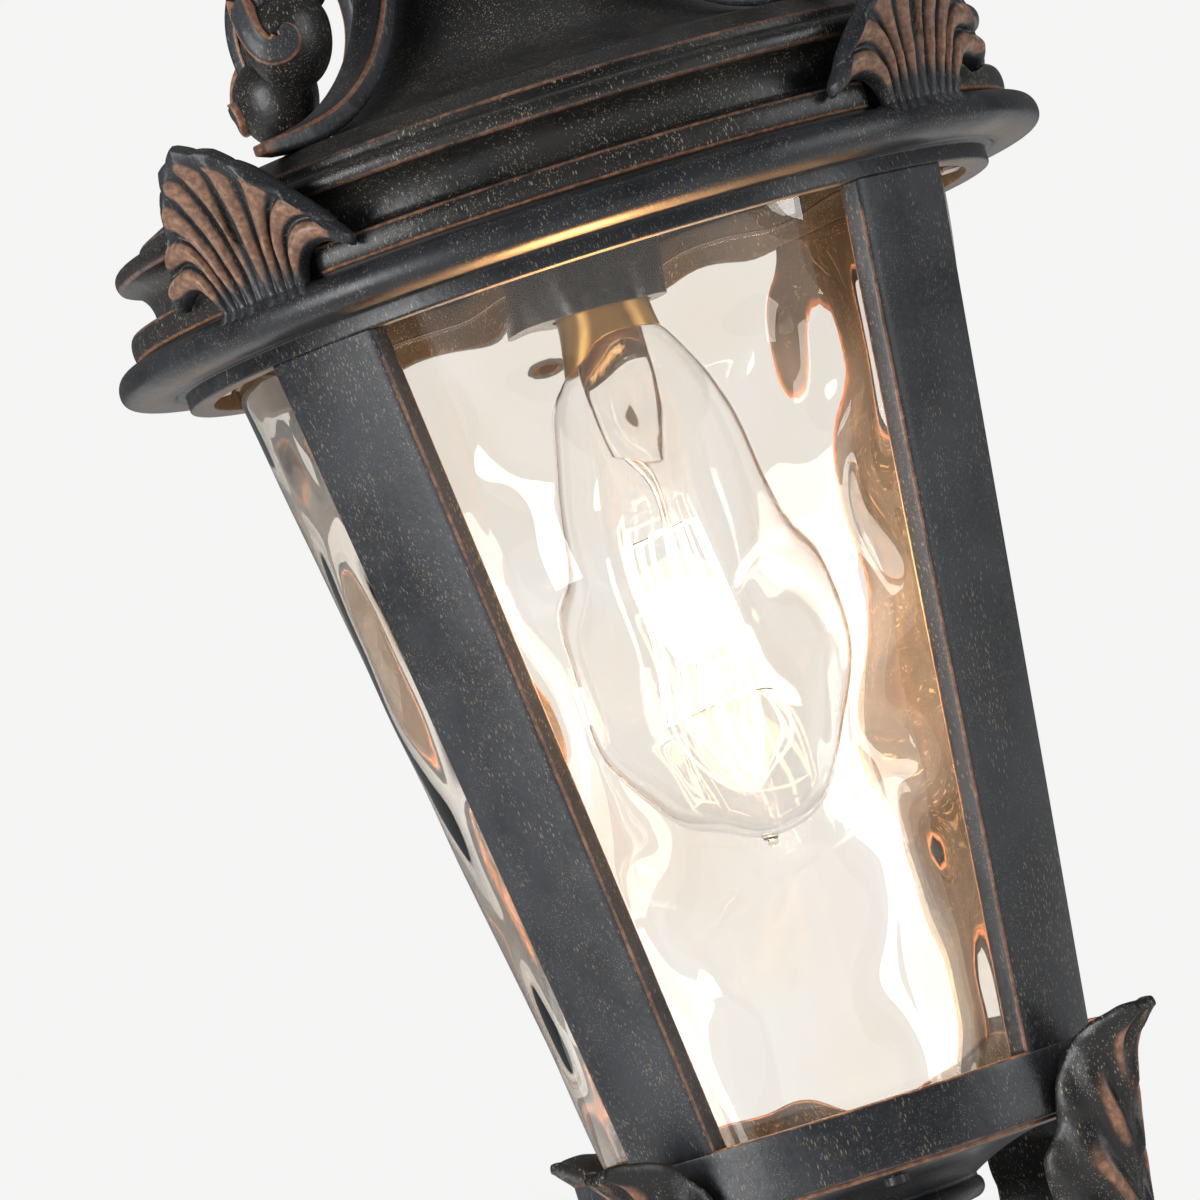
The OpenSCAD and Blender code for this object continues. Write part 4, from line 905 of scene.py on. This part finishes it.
def ball_piece(name, centre, size, top=1.0, across=64, down=32):
    """An egg or a ball at (radius from the axis, height), at the +X side. Its upper half is top times as
    high as its lower half."""
    tilt = math.pi * np.arange(down + 1)[:, None] / down
    turn = 2 * math.pi * np.arange(across)[None, :] / across
    rise = np.cos(tilt) * np.where(tilt < math.pi / 2, top, 1.0) * np.ones_like(turn)
    points = np.stack([
        centre[0] + size[0] * np.sin(tilt) * np.cos(turn), size[1] * np.sin(tilt) * np.sin(turn),
        centre[1] + size[2] * rise], axis=-1)
    return make_piece(name, points.reshape(-1, 3), grid_faces(down + 1, across, around_columns=True))


def on_egg(right, up, proud):
    """The point of the egg's front that appears at (right, up), moved out by proud."""
    flat = egg_right * right + np.array((0, 0, up))
    # The front is where a * deep**2 + 2 * b * deep + c is 0.
    a = ((egg_front / egg_size) ** 2).sum()
    b = (flat * egg_front / egg_size**2).sum()
    c = ((flat / egg_size) ** 2).sum() - 1
    deep = (-b + math.sqrt(max(0, b * b - a * c))) / a
    place = flat + egg_front * deep
    out = place / egg_size**2
    place = place + out / np.linalg.norm(out) * proud
    return place[0] + egg_place[0], place[1], place[2] + egg_place[1]


def comma_piece():
    """The comma: a raised strip with a proud edge, that curls on the egg's front to a round head."""
    control = np.array(comma_line)
    along = np.linspace(0, len(control) - 1, comma_steps)
    line = np.stack([np.interp(along, range(len(control)), control[:, k]) for k in range(3)], 1)
    for _ in range(comma_smoothings):
        line[1:-1] = (line[:-2] + line[2:] + 2 * line[1:-1]) / 4
    ahead = np.gradient(line[:, :2], axis=0)
    ahead /= np.linalg.norm(ahead, axis=1)[:, None]
    rings = []
    for (right, up, half), (go_right, go_up) in zip(line, ahead):
        front = []
        back = []
        for share in comma_shares:
            a, b = right - go_up * half * share, up + go_right * half * share
            edge = math.sqrt(max(0, 1 - abs(share) ** 6))
            dip = 0.5 * math.exp(-((share / 0.5) ** 2))
            front.append(on_egg(a, b, (2.0 - dip) * edge - 0.2))
            back.append(on_egg(a, b, -1.2 - 0.35 * max(0, b)))
        rings.append(front + back[::-1])
    edge_rub = np.clip((np.abs(comma_shares) - 0.55) * 3, 0, 0.9)
    rub = np.tile(np.concatenate([edge_rub, np.zeros(len(comma_shares))]), comma_steps)
    return tube("scroll_comma", rings, rub=rub, thin_ends=True)


for corner in corner_turn:
    dress(scroll_piece(corner), "roof", "charcoal_casting", charcoal, f"roof_scroll_{corner}")
dress(four_of(ball_piece("scroll_eggs", egg_place, egg_size, egg_top)), "roof", "brown_casting", brown)
dress(four_of(ball_piece("scroll_balls", ball_place, ball_size)), "roof", "brown_casting", brown)
dress(four_of(comma_piece()), "roof", "charcoal_casting", charcoal)


# Top cap: a turned casting that closes the dome's neck and carries the hanging loop.
cap_top_z = neck_z + 24
cap_line = (
    [(0, neck_z)]
    + curve((28.5, 0), (31, 0.5), (31, 4), (28, 5), 12, neck_z)
    + curve((26.6, 5.6), (18, 7), (11, 10), (11, 18), 18, neck_z)
    + curve((12.2, neck_z + 18.8), (14.6, neck_z + 20), (14.6, neck_z + 23), (12.5, cap_top_z), 10)
    + [(0, cap_top_z)])
turned_casting("roof_cap_casting", cap_line, 128, "roof", "roof_cap")


# Hanging loop: a cast eye on a shank, screwed onto the nipple. The cable comes up through the shank
# into the eye.
eye_z = cap_top_z + 24
eye_r = 14.5
eye_steps = 96
eye_sides = 32
shank_top_z = cap_top_z + 10.4


def loop_eye():
    """The eye: a ring whose bar is a rounded square."""
    rings = []
    for i in range(eye_steps):
        a = 2 * math.pi * i / eye_steps
        line = []
        for k in range(eye_sides):
            b = 2 * math.pi * k / eye_sides
            out = eye_r + 2.5 * math.copysign(abs(math.cos(b)) ** 0.6, math.cos(b))
            y = 3.5 * math.copysign(abs(math.sin(b)) ** 0.7, math.sin(b))
            line.append((out * math.cos(a), y, eye_z + out * math.sin(a)))
        rings.append(line)
    return make_piece("hanging_loop_eye", np.array(rings).reshape(-1, 3),
                      grid_faces(eye_steps, eye_sides, around_rows=True, around_columns=True))


eye = loop_eye()
shank_line = (
    [(0, cap_top_z)]
    + curve((8.5, cap_top_z), (9.6, cap_top_z + 3), (7.4, cap_top_z + 6), (6.8, shank_top_z), 14)
    + [(0, shank_top_z)])
shank = revolve("hanging_loop_shank", rounded(shank_line), 64)
rub_edges(eye, sharp=0.001, blunt=0.004, amount=0.8)
dress(eye, "roof", "charcoal_casting", charcoal, "hanging_loop")
rub_edges(shank, sharp=0.001, blunt=0.004, amount=0.7)
dress(shank, "roof", "charcoal_casting", charcoal)


# Lampholder, the lamp's cap and the small metal parts keep their solids, with a finish for each metal
# and for moulded phenolic and rubber. The cup's screw heads are painted with the casting round them.
def plain_metal(name, colour, rough, spread, grain_size):
    """Bare metal whose shine and tone vary with a fine grain and with handling."""
    material, tree, shader, where = new_material(name)
    cloud = noise_in(tree, where, 0.006, 3)
    grain = noise_in(tree, where, grain_size, 3)
    darker = tuple(0.72 * c for c in colour)
    tone = mix_colour(tree, between(tree, cloud, 0.3, 0.7), darker, colour)
    roughness = maths(tree, "ADD", between(tree, cloud, 0.3, 0.7, rough, rough + spread),
                      maths(tree, "MULTIPLY", grain, 0.08))
    bump = node_in(tree, "ShaderNodeBump", Height=grain, Strength=0.2, Distance=0.00005)
    set_inputs(shader, Metallic=1.0, Base_Color=tone, Roughness=roughness, Normal=bump)
    return material


def plain_body(name, dark, light, rough, lump, depth):
    """A non-metal whose tone, shine and skin vary in soft lumps."""
    material, tree, shader, where = new_material(name)
    cloud = noise_in(tree, where, lump, 4)
    tone = mix_colour(tree, between(tree, cloud, 0.3, 0.7), dark, light)
    roughness = between(tree, cloud, 0.2, 0.8, rough, rough + 0.1)
    skin = noise_in(tree, where, lump / 6, 3)
    bump = node_in(tree, "ShaderNodeBump", Height=skin, Strength=0.3, Distance=depth)
    set_inputs(shader, Base_Color=tone, Roughness=roughness, Normal=bump)
    return material


zinc = plain_metal("zinc_plate", (0.55, 0.56, 0.58), 0.28, 0.14, 0.0006)
brass = plain_metal("yellow_brass", (0.36, 0.22, 0.075), 0.26, 0.12, 0.0008)
vitrite = plain_body("black_vitrite", (0.008, 0.008, 0.01), (0.02, 0.02, 0.022), 0.18, 0.003, 0.00005)
rubber = plain_body("gasket_rubber", (0.012, 0.012, 0.012), (0.03, 0.03, 0.03), 0.6, 0.004, 0.0001)
slot_finish = {"zinc_steel": zinc, "brass": brass, "black_insulation": vitrite, "gasket_rubber": rubber}
for name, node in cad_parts.items():
    for slot in node.material_slots:
        plain = slot.material.name.split(".")[0] if slot.material else ""
        if plain in slot_finish:
            slot.material = slot_finish[plain]
        if name.startswith("cup_screw"):
            slot.material = charcoal


# Lamp: a clear bulb with a glass stem and a squirrel-cage filament, lit. The bulb is blown thin and its
# tip is sealed off in a small pip.
lamp_glass_z = -23.0
bulb_r = 32.0
bulb_h = 120.0
bulb_wall = 0.7
neck_r_in_cap = 12.5
bulb_tip_z = lamp_glass_z - bulb_h
lamp_middle_z = -90


def bulb_line(inset):
    """The bulb's wall from its neck to its tip, moved in by inset."""
    z = lamp_glass_z
    upper = curve((neck_r_in_cap - inset, z), (neck_r_in_cap + 7.5 - inset, z - 3),
                  (bulb_r - 3.5 - inset, z - 40), (bulb_r - inset, z - 76), 40)
    lower = curve((bulb_r - inset, z - 77.5), (bulb_r + 1.5 - inset, z - 104),
                  (bulb_r - 14 - inset, bulb_tip_z + inset), (3.2, bulb_tip_z + inset), 40)
    return [(neck_r_in_cap - inset, z + 8)] + upper + lower


bulb_pip = [(2.4, bulb_tip_z - 1.2), (2.0, bulb_tip_z - 2.8), (1.0, bulb_tip_z - 3.5), (0, bulb_tip_z - 3.6)]
bulb_inside = [(0, bulb_tip_z + 1)] + bulb_line(bulb_wall)[::-1]
bulb = revolve("lamp_bulb", rounded(bulb_line(0) + bulb_pip + bulb_inside, longest=3), 128)
bulb_glass = clear_glass("bulb_glass", (1, 1, 1), 0.0, 1.38)
dress(bulb, "lamp", "lamp_glass", bulb_glass, "lamp_glass")
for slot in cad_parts["lamp_stem"].material_slots:
    slot.material = bulb_glass
hot, hot_tree, hot_shader, hot_where = new_material("glowing_tungsten")
hot_tone = mix_colour(hot_tree, noise_in(hot_tree, hot_where, 0.002, 3), (1.0, 0.72, 0.36), (1.0, 0.86, 0.6))
set_inputs(hot_shader, Base_Color=(0.3, 0.25, 0.2), Emission_Color=hot_tone, Emission_Strength=60.0)
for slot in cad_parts["filament"].material_slots:
    slot.material = hot
lamp_light_data = bpy.data.lights.new("lamp_light", "POINT")
lamp_light_data.energy = 1.4
lamp_light_data.color = (1.0, 0.5, 0.17)
lamp_light_data.shadow_soft_size = 0.012
lamp_light = add_thing("lamp_light", lamp_light_data)
lamp_light.location = (0, 0, (lip_height + lamp_middle_z) / 1000)
lamp_light.parent = bulb


# Studio: a plain pale floor that glows a little and an even white surround, with a large soft light on
# each side of the camera and a weak one above. The lantern hangs clear of the floor.
floor_height = -0.66
floor_r = 3
floor_glow_share = 0.82
light_aim = Vector((0, 0, -0.25))

world = bpy.data.worlds.new("studio")
world.use_nodes = True
bpy.context.scene.world = world
sky = world.node_tree
sky_light = sky.nodes["Background"]
set_inputs(sky_light, Color=(0.95, 0.97, 1.0), Strength=0.17)
sky_seen = node_in(sky, "ShaderNodeBackground", Color=(0.91, 0.91, 0.905), Strength=1.0)
seen = is_any(sky, "Is Camera Ray", "Is Transmission Ray")
end_in_mix(sky, seen, sky_light, sky_seen, "World Output")

floor_mesh = bpy.data.meshes.new("floor")
floor_shell = bmesh.new()
bmesh.ops.create_circle(floor_shell, cap_ends=True, radius=floor_r, segments=96)
floor_shell.to_mesh(floor_mesh)
floor_shell.free()
floor = add_thing("floor", floor_mesh)
floor.location = (0, 0, floor_height)
floor_paint, floor_tree, floor_shader, floor_where = new_material("pale_floor")
floor_cloud = noise_in(floor_tree, floor_where, 0.4, 3)
floor_tone = mix_colour(floor_tree, floor_cloud, (0.8, 0.8, 0.79), (0.84, 0.84, 0.83))
set_inputs(floor_shader, Base_Color=floor_tone, Roughness=0.9)
floor_glow = node_in(floor_tree, "ShaderNodeEmission", Color=(0.93, 0.93, 0.925))
floor_seen = is_any(floor_tree, "Is Camera Ray", "Is Transmission Ray", "Is Glossy Ray")
floor_share = maths(floor_tree, "MULTIPLY", floor_seen, floor_glow_share)
end_in_mix(floor_tree, floor_share, floor_shader, floor_glow)
floor_mesh.materials.append(floor_paint)


def soft_light(name, place, size, energy, colour):
    """A large flat light that is turned to the lantern's middle."""
    data = bpy.data.lights.new(name, "AREA")
    data.shape = "RECTANGLE"
    data.size, data.size_y = size
    data.energy = energy
    data.color = colour
    light = add_thing(name, data)
    light.location = place
    light.rotation_mode = "QUATERNION"
    light.rotation_quaternion = (light_aim - Vector(place)).to_track_quat("-Z", "Y")


soft_light("left_light", place=(-1.8, -1.1, 0.05), size=(0.8, 1.1), energy=32, colour=(0.98, 0.99, 1.0))
soft_light("right_light", place=(1.7, -0.9, 0.1), size=(0.5, 1.1), energy=12, colour=(0.96, 0.98, 1.0))
soft_light("top_light", place=(0.2, 0.4, 1.7), size=(1.2, 1.2), energy=2, colour=(1.0, 1.0, 1.0))
